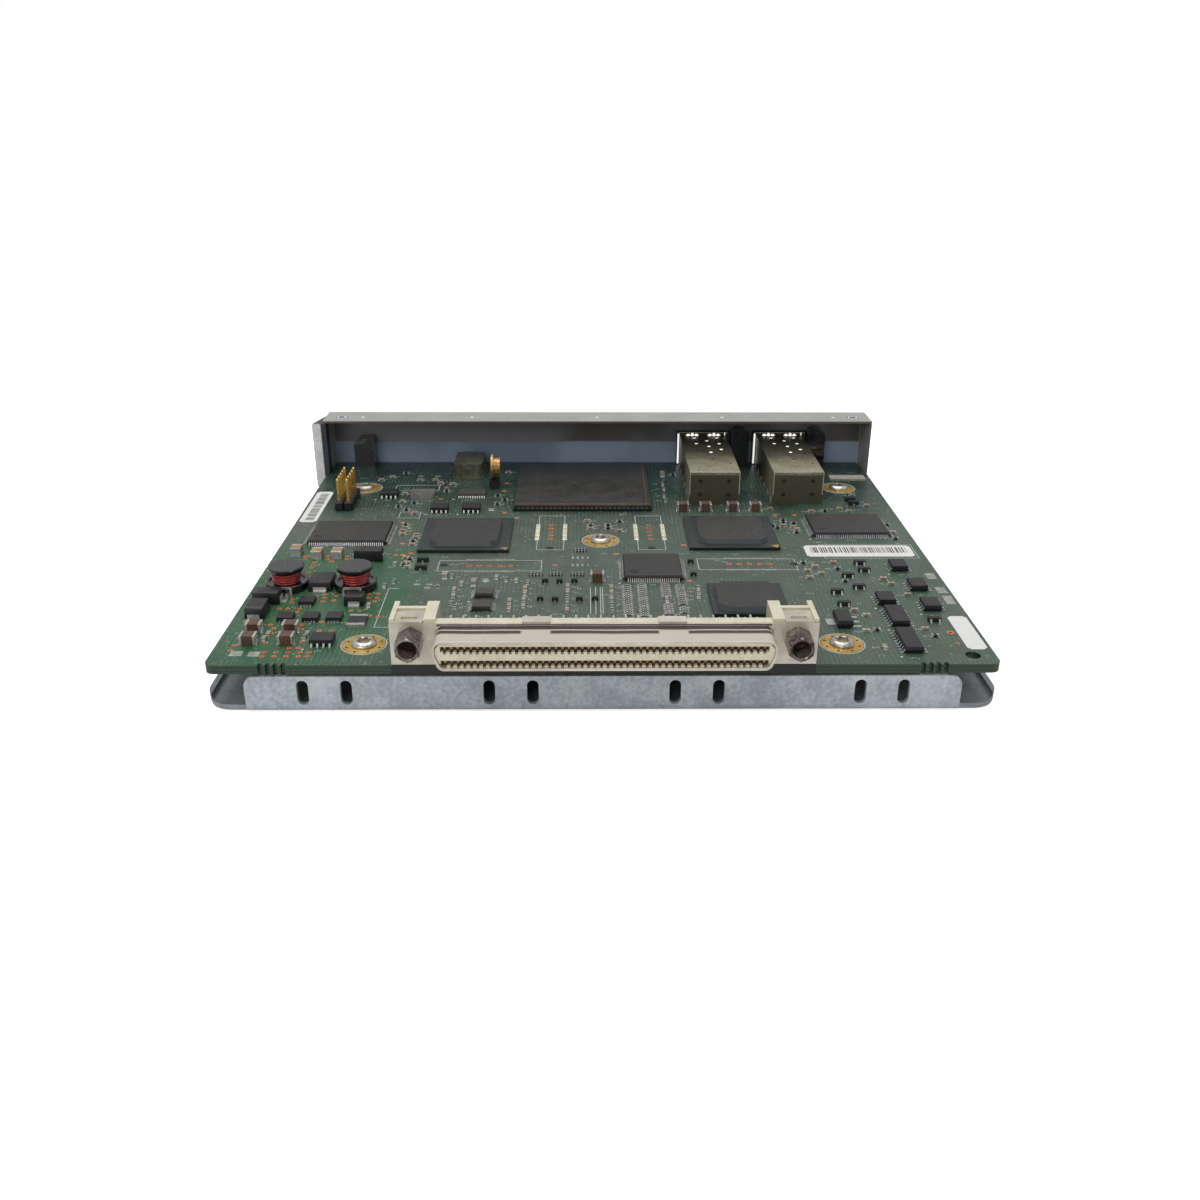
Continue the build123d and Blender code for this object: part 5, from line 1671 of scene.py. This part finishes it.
@dataclass
class TallParts:
    """The pin header, oscillator can, crystal and upright disc."""

    header_at: Point = (-69.9, 29.9)
    rows: int = 5
    pitch: float = 2.54
    pin: float = 0.64
    pin_top: float = 8.9
    point: float = 0.4
    base_h: float = 2.5
    cell_gap: float = 0.12

    def build(self) -> None:
        """Builds the header's pins with pointed ends and dresses the rest."""
        pins, base = Stock(), Stock()
        x, y = self.header_at
        for row in range(self.rows):
            for column in (-0.5, 0.5):
                px = x + column * self.pitch
                py = y + (row - (self.rows - 1) / 2) * self.pitch
                length = self.pin_top - self.base_h - self.point
                cell = self.pitch - self.cell_gap
                pins.block((px, py, TOP + self.base_h), (self.pin, self.pin, length))
                pins.block((px, py, TOP + self.base_h + length), (self.pin, self.pin, self.point), 0.45)
                base.block((px, py, TOP), (cell, cell, self.base_h))
        pins.made("header_pins_pointed", Finishes.PAD, "gold_contact", ("pin_header_pins",))
        base.bevel(0.35, 1).made("header_base_cells", Finishes.BLACK, "black_moulding", ("pin_header_base",))
        for finish, node in ((Finishes.CRYSTAL, "crystal"), (Finishes.CAN, "oscillator_can"),
                             (Finishes.BLACK, "upright_disc_socket"), (Finishes.GOLD, "upright_disc")):
            dress(finish, node)


@dataclass
class Labels:
    """Plain paper labels with generic bar stripes and no lettering."""

    sheets: tuple[Box, ...] = (
        (-77.9, 27.0, 4.6, 24.7), (64.9, -6.3, 27.0, 7.4))
    paper_t: float = 0.12
    ink_t: float = 0.02

    def build(self) -> None:
        """Prints the stripes and dresses the paper."""
        dress(Finishes.LABEL, "board_labels")
        ink = Stock()
        dice = random.Random(7)
        level = TOP + self.paper_t - 0.005
        for x, y, w, d in self.sheets:
            along_x = w > d
            length = max(w, d) - 3.0
            height = min(w, d) * 0.5
            at = -length / 2
            while at < length / 2:
                bar = dice.choice((0.12, 0.2, 0.32))
                place = (x + at, y + 0.6) if along_x else (x + 0.2, y + at)
                size = (bar, height) if along_x else (height, bar)
                ink.block((*place, level), (*size, self.ink_t))
                at += bar + dice.choice((0.16, 0.26, 0.4))
        ink.made("label_bars", Finishes.INK, "black_moulding")


class ChipKind(Enum):
    """The small two-ended chips, by the colour of their middle."""

    RESISTOR = "resistor"
    TAN = "tan"


@dataclass
class SmallChips:
    """The scattered small chips, arrays and three-lead parts."""

    upright: tuple[Point, ...] = (
        (-17.8, -29.3), (-17.7, -32.3), (-17.8, -35.8), (-17.8, -39.3), (-7.9, -28.4), (-7.9, -31.8),
        (-7.9, -35.7), (-7.9, -39.0), (-7.9, -41.8), (2.2, -29.1), (2.2, -32.0), (2.1, -35.6), (2.1, -39.0),
        (2.2, -41.8), (-34.2, -30.3), (-34.0, -33.9), (-34.0, -38.0), (-33.0, -39.9), (-21.0, -36.5),
        (-20.9, -39.0), (-20.8, -41.2), (22.5, -29.5), (22.3, -31.4), (22.2, -33.7), (22.0, -35.7),
        (14.7, -35.6), (14.7, -37.8), (14.8, -43.6), (-24.9, -22.9), (-22.5, -24.4), (-20.1, -25.0),
        (-17.4, -26.3), (-32.8, -26.6), (-35.5, -22.5), (18.8, 46.2), (18.8, 41.6), (18.5, 35.5),
        (18.7, 31.6), (58.6, -60.3))
    level: tuple[Point, ...] = (
        (-51.4, 12.5), (-51.1, 10.2), (-51.5, 8.0), (-51.2, 5.6), (-48.0, -10.7), (-46.9, -11.7),
        (-47.3, -14.0), (-47.9, -15.0), (-46.9, -16.6), (-47.5, 5.0), (-47.5, 3.2), (-47.8, 0.6),
        (-47.7, -1.8), (-43.5, 39.9), (-47.9, 50.1), (-46.1, 47.2), (-42.4, 46.3), (-52.4, 50.1),
        (-55.1, 37.7), (5.3, 14.7), (-3.3, 15.2), (5.1, 8.0), (58.2, 22.9), (61.9, 22.9), (66.3, 24.8),
        (68.5, 22.9), (49.3, 15.7), (49.0, 13.7), (48.7, 11.8), (51.7, 13.2), (51.3, 10.8), (51.4, 6.6),
        (51.8, 8.9), (47.1, 24.8), (45.8, 11.3), (46.9, 9.9), (-2.4, 9.6), (2.2, 9.8), (-2.4, 11.6),
        (2.2, 11.9), (49.5, -14.2), (52.0, -16.5), (49.8, -19.0), (52.8, -20.8), (49.6, -23.2),
        (56.9, -14.0), (57.2, -18.0), (66.9, -24.0), (68.0, -27.2), (57.5, -25.6), (56.2, -41.8),
        (58.3, -44.5), (56.5, -52.4), (58.9, -52.0), (70.3, -33.4), (69.4, -51.5), (70.6, -55.0),
        (-50.2, 21.4), (-52.8, 24.1), (-55.4, 26.8), (-51.4, 29.6), (-54.9, 31.0), (-28.2, 28.6),
        (-26.4, 32.2), (-28.6, 36.0), (-63.8, 50.2), (-60.9, 53.0), (-57.4, 56.4), (-30.2, 55.1),
        (-26.9, 57.5), (22.4, 55.0), (74.4, 27.6), (72.2, 36.4), (76.2, 2.0), (76.6, 6.6), (76.4, 12.2))
    tan_small: tuple[Point, ...] = ((-30.0, -26.7), (-37.1, -22.5), (19.2, 54.6))
    black_three: tuple[Point, ...] = (
        (-43.6, -12.6), (-43.5, -17.5), (70.7, 31.6), (71.0, 28.7))
    tiny_three: tuple[Point, ...] = (
        (-13.3, -25.5), (-9.9, -25.7), (-6.4, -25.5), (-14.1, -35.8), (-10.7, -36.0), (-5.2, -35.9),
        (-1.6, -35.7), (22.0, -13.6), (22.0, -21.6))
    arrays: tuple[Point, ...] = (
        (-15.6, -21.5), (-10.9, -21.5), (-5.7, -21.5), (-5.1, -6.2))
    chevrons: tuple[Triple, ...] = (
        (5.8, -44.2, -27.3), (9.3, -44.8, -27.0), (14.8, -34.3, -27.0), (14.8, -43.6, -39.0),
        (18.2, -38.4, -27.0), (18.2, -43.0, -40.3))
    power_row: tuple[Point, ...] = (
        (-71.2, -53.4), (-71.6, -55.7), (-63.0, -53.4), (-63.2, -55.4), (-72.0, -33.0), (-52.4, -38.9),
        (-50.6, -28.0), (-48.8, -25.4), (-60.2, -16.2), (-50.2, -14.6), (-77.4, -47.6))
    chip: Triple = (1.6, 0.85, 0.5)
    chevron_step: float = 1.15

    def _two_ended(self, bodies: Stock, ends: Stock, at: Point, turn: float, size: Triple,
                   end_share: float = 0.26) -> None:
        """Adds one two-ended chip.

        Args:
            bodies: the stock for its middle.
            ends: the stock for its ends.
            at: its place.
            turn: its turn about Z in degrees.
            size: its length, width and height.
            end_share: how much of the length each plated end covers.
        """
        length, width, height = size
        bodies.block((*at, TOP + 0.02), (length * (1.1 - 2 * end_share), width, height), 1.0, turn)
        angle = math.radians(turn)
        reach = length * (1 - end_share) / 2
        for side in (-1, 1):
            x = at[0] + side * reach * math.cos(angle)
            y = at[1] + side * reach * math.sin(angle)
            ends.block((x, y, TOP), (length * end_share, width + 0.04, height + 0.04), 0.96, turn)
            out = side * length * 0.5
            x = at[0] + out * math.cos(angle)
            y = at[1] + out * math.sin(angle)
            ends.block((x, y, TOP - SINK), (length * 0.3, width * 1.05, 0.12), 0.8, turn)

    def _three_lead(self, bodies: Stock, leads: Stock, at: Point, size: Triple) -> None:
        """Adds one small three-lead part.

        Args:
            bodies: the stock for its body.
            leads: the stock for its leads.
            at: its place.
            size: its width, depth and height.
        """
        width, depth, height = size
        bodies.block((*at, TOP + 0.05), size, 0.93)
        for x, y in ((-0.33, 1), (0.33, 1), (0.0, -1)):
            leads.block((at[0] + x * width, at[1] + y * (depth / 2 + 0.15), TOP),
                        (width * 0.16, 0.5, height * 0.4), 0.9)

    def build(self) -> None:
        """Builds every chip, array and three-lead part."""
        dice = random.Random(11)
        stocks = {kind: Stock() for kind in ChipKind}
        ends = Stock()
        for places, turn in ((self.upright, 90.0), (self.level, 0.0), (self.power_row, 90.0)):
            for at in places:
                kind = dice.choice((ChipKind.RESISTOR, ChipKind.TAN, ChipKind.TAN))
                self._two_ended(stocks[kind], ends, at, turn, self.chip)
        for at in self.tan_small:
            self._two_ended(stocks[ChipKind.TAN], ends, at, 90.0, (2.0, 1.3, 1.1))
        for x, low, high in self.chevrons:
            for i in range(int((high - low) / self.chevron_step) + 1):
                y = low + i * self.chevron_step
                for side in (-1, 1):
                    self._two_ended(stocks[ChipKind.RESISTOR], ends, (x + side * 0.5, y), side * -38.0,
                                    (1.3, 0.55, 0.32), 0.42)
        bodies, leads = Stock(), Stock()
        for at in self.black_three:
            self._three_lead(bodies, leads, at, (2.9, 1.3, 1.0))
        for at in self.tiny_three:
            self._three_lead(bodies, leads, at, (1.5, 1.0, 0.8))
        for x, y in self.arrays:
            stocks[ChipKind.RESISTOR].block((x, y, TOP + 0.02), (3.2, 1.2, 0.5))
            for i in range(4):
                for side in (-1, 1):
                    ends.block((x + (i - 1.5) * 0.8, y + side * 0.6, TOP), (0.4, 0.42, 0.55), 0.96)
        for kind, finish, slot in ((ChipKind.RESISTOR, Finishes.RESISTOR, "resistor_black"),
                                   (ChipKind.TAN, Finishes.TAN, "tan_ceramic")):
            stocks[kind].made(f"small_{kind.value}_chips", finish, slot)
        bodies.made("three_lead_bodies", Finishes.BLACK, "black_moulding")
        leads.made("three_lead_feet", Finishes.TIN, "tinned_lead")
        ends.made("small_chip_ends", Finishes.TIN, "tinned_lead")


@dataclass
class PrintedBoard:
    """What is printed and plated on the board: vias, pads, tracks, outlines and dots."""

    vias: tuple[Point, ...] = (
        (-73.1, -9.5), (-72.7, -11.1), (-70.0, -13.4), (-69.9, -15.4), (-70.1, -16.8), (-70.2, -19.5),
        (-70.2, -35.3), (-70.1, -37.0), (-72.1, -40.3), (-70.2, -40.3), (-67.5, -40.4), (-67.7, -42.2),
        (-63.2, -32.5), (-63.2, -34.5), (-63.2, -36.5), (-60.7, -33.4), (-60.8, -35.9), (-65.2, -33.6),
        (-53.3, -32.5), (-51.5, -32.2), (-51.3, -34.5), (-51.5, -36.5), (-53.2, -34.5), (-55.9, -41.5),
        (-53.9, -41.5), (-51.4, -44.0), (-49.4, -44.7), (-61.3, -47.3), (-60.8, -51.7), (-58.3, -51.7),
        (-65.1, -48.6), (-72.0, -48.6), (-70.8, -50.5), (-70.8, -52.9), (-70.8, -57.4), (-64.8, -51.0),
        (-63.3, -56.8), (-65.4, -59.9), (-63.5, -59.9), (-67.5, -9.2), (-67.2, -11.2), (-62.8, -9.5),
        (-62.6, -11.2), (-65.9, -12.8), (-50.9, -8.5), (-76.8, -55.3), (-76.9, -58.6), (-77.2, -61.0))
    grid_y: tuple[float, float] = (-61.9, -63.7)
    grid_x: tuple[float, ...] = (-70.0, -67.6, -65.1, -62.6, -60.7)
    connector_vias: tuple[Point, ...] = (
        *[(x, -15.6) for x in (-32.1, -29.6, -27.1, -24.6, -22.0)],
        *[(x, -14.6) for x in (31.3, 33.8, 36.3, 38.8, 41.3)],
        *[(x, y) for x in (-12.7, 13.0) for y in (12.4, 9.8, 7.3, 4.9, 2.3)])
    ovals: tuple[Point, ...] = (
        (21.2, -2.0), (3.8, -8.0), (20.8, -24.9), (-25.8, 21.9), (-22.3, 18.1), (47.7, 19.5), (53.1, 20.2),
        (-52.6, 14.6), (-50.3, -0.9), (-47.2, -7.4), (-49.1, -8.5), (-44.0, 43.5), (-44.6, 33.5),
        (-27.1, 40.4), (-26.8, 47.2), (-11.2, -15.1))
    rings: tuple[Triple, ...] = (
        (74.5, -53.0, 0.9), (74.5, -58.2, 0.5))
    holes: tuple[Point, ...] = (
        (-12.8, -4.0), (13.0, -4.0), (-38.3, -15.1), (47.2, -14.6))
    pad_rows: tuple[Triple, ...] = (
        (-11.8, -32.9, -21.3), (-19.1, -32.8, -21.3), (-11.0, 30.6, 42.1), (-18.2, 30.5, 42.1))
    outlines: tuple[Box, ...] = (
        (-39.5, -14.5, -18.8, -12.2), (23.7, 47.7, -18.1, -11.3), (-16.1, -9.3, -5.1, 19.5),
        (9.6, 16.5, -5.1, 19.5), (-54.2, -48.6, 18.0, 22.6), (-58.5, -46.0, 40.6, 45.4),
        (55.6, 79.0, -10.9, -1.7))
    corner_lines: tuple[Box, ...] = (
        (-49.4, -29.3, -47.0, -29.3), (-49.4, -49.8, -49.4, -29.3), (-49.4, -50.0, -46.4, -50.0),
        (-38.4, -29.3, -37.6, -29.3))
    solder_bars: tuple[float, ...] = (-16.25, -9.15, 9.4, 16.55)
    bare_pads: tuple[Box, ...] = (
        (-71.9, -62.6, 2.4, 2.2), (-75.6, -62.4, 2.6, 2.2), (-72.1, -35.8, 1.3, 2.0), (78.7, -22.2, 2.3, 3.4),
        (78.9, -30.5, 2.3, 3.4), (79.1, -36.0, 2.2, 4.6), (-43.2, -26.9, 1.5, 0.8), (-40.3, -26.9, 1.5, 0.8),
        (-40.6, -28.8, 1.5, 0.8), (-52.7, 53.9, 1.6, 1.0), (-47.7, 53.9, 1.6, 1.0))
    light_lines: tuple[float, ...] = (-2.65, -1.45, -0.35, 0.15)
    light_line_y: float = -36.0
    light_line_l: float = 15.0
    small_pads_x: tuple[float, ...] = (-6.9, -5.7, -4.5, -3.2)
    small_pads_y: Point = (-10.3, -15.1)
    row_pads: int = 24
    print_t: float = 0.025
    line: float = 0.15
    scattered_marks: int = 150

    def _frame(self, stock: Stock, x0: float, x1: float, y0: float, y1: float) -> None:
        """Adds a printed rectangle's outline.

        Args:
            stock: what it is added to.
            x0: its left side.
            x1: its right side.
            y0: its near side.
            y1: its far side.
        """
        for y in (y0, y1):
            stock.block(((x0 + x1) / 2, y, TOP - PRINT_SINK), (x1 - x0, self.line, self.print_t))
        for x in (x0, x1):
            stock.block((x, (y0 + y1) / 2, TOP - PRINT_SINK), (self.line, y1 - y0, self.print_t))

    def _strokes(self, stock: Stock, at: Point, count: int, dice: random.Random) -> None:
        """Adds a short row of plain strokes, as a part's mark reads from afar.

        Args:
            stock: what they are added to.
            at: where the row starts.
            count: how many strokes it has.
            dice: the source of their small differences.
        """
        for i in range(count):
            x = at[0] + 0.55 * i
            size = dice.choice(((0.12, 0.75), (0.4, 0.14), (0.12, 0.5)))
            shift = dice.choice((-0.2, 0.0, 0.25))
            stock.block((x, at[1] + shift, TOP - PRINT_SINK), (*size, self.print_t))

    def _print(self) -> None:
        """Builds the outlines, dots and strokes."""
        dice = random.Random(23)
        silk = Stock()
        for box in self.outlines:
            self._frame(silk, *box)
        for x0, y0, x1, y1 in self.corner_lines:
            silk.block(((x0 + x1) / 2, (y0 + y1) / 2, TOP - PRINT_SINK),
                       (abs(x1 - x0) + self.line, abs(y1 - y0) + self.line, self.print_t))
        for x in self.light_lines:
            silk.block((x, self.light_line_y, TOP - PRINT_SINK), (0.14, self.light_line_l, self.print_t))
        parts = LeadedPackages()
        for pack in parts.flat + parts.small + parts.thin + parts.grey:
            x = pack.at[0] - pack.body[0] / 2 - 1.1
            y = pack.at[1] - pack.body[1] / 2 - 1.4
            silk.post((x, y, TOP - PRINT_SINK), 0.28, self.print_t, 10)
            self._strokes(silk, (pack.at[0] - 0.8, y - 0.7), 3, dice)
        chips = SmallChips()
        for x, y in chips.upright + chips.level:
            self._strokes(silk, (x + 1.1 if x < 15 else x - 2.4, y + 0.2), dice.choice((2, 3)), dice)
        for x, y in self.vias[::3]:
            self._strokes(silk, (x + 0.9, y + 0.5), 2, dice)
        for _ in range(self.scattered_marks):
            x = dice.uniform(-74, 76)
            y = dice.uniform(-52, 60)
            if not self._covered(x, y):
                self._strokes(silk, (x, y), dice.choice((2, 3, 4)), dice)
        silk.made("board_print", Finishes.SILK, "label_white")

    @staticmethod
    def _covered(x: float, y: float) -> bool:
        """Tells whether a place lies under a larger part.

        Args:
            x: the place across the card.
            y: the place along the card.

        Returns:
            Whether it is covered.
        """
        chips = GridArrayChips()
        for (cx, cy), size in [*chips.moulded, (chips.framer_at, chips.framer_size)]:
            if abs(x - cx) < size / 2 + 3 and abs(y - cy) < size / 2 + 1.5:
                return True
        parts = LeadedPackages()
        for pack in parts.flat + parts.small:
            if abs(x - pack.at[0]) < pack.body[0] / 2 + 3 and abs(y - pack.at[1]) < pack.body[1] / 2 + 1.8:
                return True
        for cx in ModuleCages().centres:
            if abs(x - cx) < 13 and y > 27:
                return True
        return any(math.hypot(x - sx, y - sy) < 7.5 for sx, sy in SCREW_PLACES)

    def _plating(self) -> None:
        """Builds the vias, ovals, pads and bars."""
        orange, dark, cream, tin = Stock(), Stock(), Stock(), Stock()
        rings = [(x, y, 0.55) for x, y in self.vias]
        rings += [(x, y, 0.66) for x, y in self.connector_vias]
        rings += [(x, y, 0.55) for y in self.grid_y for x in self.grid_x]
        for x, y, radius in [*rings, *self.rings]:
            orange.post((x, y, TOP - SINK), radius, SINK + 0.03, 12)
            dark.post((x, y, TOP - SINK), radius * 0.38, SINK + 0.04, 8)
        for x, y in self.ovals:
            orange.block((x, y, TOP - SINK), (1.3, 0.9, SINK + 0.03), 0.9)
        for x, y in self.holes:
            dark.post((x, y, TOP - SINK), 1.0, SINK + 0.02, 20)
        for y, x0, x1 in self.pad_rows:
            for i in range(self.row_pads):
                x = x0 + (x1 - x0) * i / (self.row_pads - 1)
                tin.block((x, y, TOP - SINK), (0.26, 0.95, SINK + 0.03))
        for x in self.solder_bars:
            for i in range(4):
                cream.block((x, 2.9 + 3.0 * i, TOP - SINK), (1.2, 2.6, SINK + 0.1), 0.85)
        for x, y, w, d in self.bare_pads:
            tin.block((x, y, TOP - SINK), (w, d, SINK + 0.04), 0.95)
        for x in self.small_pads_x:
            for y in self.small_pads_y:
                tin.block((x, y, TOP - SINK), (0.5, 1.5, SINK + 0.05), 0.9)
        tin.block((-29.6, 24.7, TOP - SINK), (1.6, 2.2, SINK + 0.05), 0.9)
        tin.post((-27.3, -24.6, TOP - SINK), 1.0, 0.35, 14, 0.6)
        orange.made("copper_vias", Finishes.COPPER, "gold_contact")
        dark.made("via_holes", Finishes.HOLLOW_SHADE, "black_moulding")
        cream.made("upright_solder_bars", Finishes.CREAM, "tinned_lead")
        tin.made("tinned_pads", Finishes.SOLDER, "tinned_lead")

    def build(self) -> None:
        """Builds everything on the board's face."""
        self._plating()
        self._print()


@dataclass
class Studio:
    """The camera, floor, lamps and world."""

    position: Triple = (-3.78, -274.52, 118.77)
    pitch: float = 24.30
    yaw: float = 0.79
    roll: float = 0.25
    lens: float = 34.557
    sensor: float = 36.0
    floor_half: float = 30.0
    floor_drop: float = 0.0003
    floor_lift: float = 0.72
    room_light: float = 0.3
    room_gloss: float = 0.55

    def _camera(self) -> None:
        """Sets the camera where the photograph was taken from."""
        pitch, yaw, roll = (math.radians(a) for a in (self.pitch, self.yaw, self.roll))
        forward = Vector((math.sin(yaw) * math.cos(pitch), math.cos(yaw) * math.cos(pitch), -math.sin(pitch)))
        right = Vector((math.cos(yaw), -math.sin(yaw), 0.0))
        up = right.cross(forward)
        right_rolled = math.cos(roll) * right + math.sin(roll) * up
        up_rolled = math.cos(roll) * up - math.sin(roll) * right
        data = bpy.data.cameras.new("photo_camera")
        data.lens = self.lens
        data.sensor_width = self.sensor
        data.clip_start = 0.01
        data.clip_end = 100.0
        camera = bpy.data.objects.new("photo_camera", data)
        turn = Matrix((right_rolled, up_rolled, -forward)).transposed()
        camera.matrix_world = Matrix.Translation(Vector(self.position) * MM) @ turn.to_4x4()
        bpy.context.scene.collection.objects.link(camera)
        bpy.context.scene.camera = camera

    def _floor(self) -> None:
        """Lays a pale floor that stays white but keeps the card's shadow."""
        shape = bmesh.new()
        bmesh.ops.create_grid(shape, x_segments=1, y_segments=1, size=self.floor_half)
        mesh = bpy.data.meshes.new("studio_floor")
        shape.to_mesh(mesh)
        shape.free()
        floor = bpy.data.objects.new("studio_floor", mesh)
        for v in mesh.vertices:
            v.co.z = -self.floor_drop
        bpy.context.scene.collection.objects.link(floor)
        paint = bpy.data.materials.new("studio_floor")
        paint.use_nodes = True
        graph = Graph(paint.node_tree)
        shader = graph.add("ShaderNodeBsdfPrincipled")
        shader.inputs["Base Color"].default_value = (0.9, 0.9, 0.9, 1.0)
        shader.inputs["Roughness"].default_value = 0.9
        shader.inputs["Emission Color"].default_value = (1.0, 1.0, 1.0, 1.0)
        seen = graph.add("ShaderNodeLightPath").outputs["Is Camera Ray"]
        graph.feed(shader.inputs["Emission Strength"], graph.math("MULTIPLY", seen, self.floor_lift))
        out = graph.add("ShaderNodeOutputMaterial")
        graph.feed(out.inputs["Surface"], shader.outputs["BSDF"])
        mesh.materials.append(paint)

    def _lamp(self, name: str, at: Triple, aim: Triple, size: float, power: float) -> None:
        """Hangs a square soft lamp.

        Args:
            name: its name.
            at: where it hangs, in metres.
            aim: what it faces.
            size: its side.
            power: its power in watts.
        """
        data = bpy.data.lights.new(name, "AREA")
        data.size = size
        data.energy = power
        lamp = bpy.data.objects.new(name, data)
        lamp.location = at
        lamp.rotation_mode = "QUATERNION"
        lamp.rotation_quaternion = (Vector(aim) - Vector(at)).to_track_quat("-Z", "Y")
        bpy.context.scene.collection.objects.link(lamp)

    def _world(self) -> None:
        """Fills the room with soft white light."""
        world = bpy.data.worlds.new("studio_world")
        bpy.context.scene.world = world
        world.use_nodes = True
        graph = Graph(world.node_tree)
        back = graph.add("ShaderNodeBackground")
        back.inputs["Color"].default_value = (1.0, 1.0, 1.0, 1.0)
        path = graph.add("ShaderNodeLightPath")
        seen = graph.math("MAXIMUM", path.outputs["Is Camera Ray"], path.outputs["Is Transmission Ray"])
        glossy = graph.math("MULTIPLY", path.outputs["Is Glossy Ray"], self.room_gloss)
        light = graph.math("MAXIMUM", glossy, self.room_light)
        graph.feed(back.inputs["Strength"], graph.math("MAXIMUM", seen, light))
        out = graph.add("ShaderNodeOutputWorld")
        graph.feed(out.inputs["Surface"], back.outputs["Background"])

    def build(self) -> None:
        """Builds the whole studio."""
        self._camera()
        self._floor()
        self._world()
        self._lamp("overhead_softbox", (0.0, 0.15, 0.9), (0.0, 0.0, 0.0), 0.9, 6.0)
        self._lamp("front_softbox", (-0.35, -0.8, 0.6), (0.0, 0.0, 0.01), 0.7, 3.0)
        bpy.context.scene.view_settings.view_transform = "Standard"


def main() -> None:
    """Builds the studio and every sub-assembly."""
    logging.basicConfig(level=logging.INFO, format="%(name)s: %(message)s")
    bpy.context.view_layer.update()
    Studio().build()
    assemblies = (SheetMetal(), PrintedBoard(), SmallChips(), LeadedPackages(), GridArrayChips(),
                  ScrewHeads(), PowerSection(), ChipCapacitors(), RearConnector(), ModuleCages(),
                  TallParts(), Labels())
    for assembly in assemblies:
        assembly.build()
        LOG.info("%s built", type(assembly).__name__)


if __name__ == "__main__":
    main()
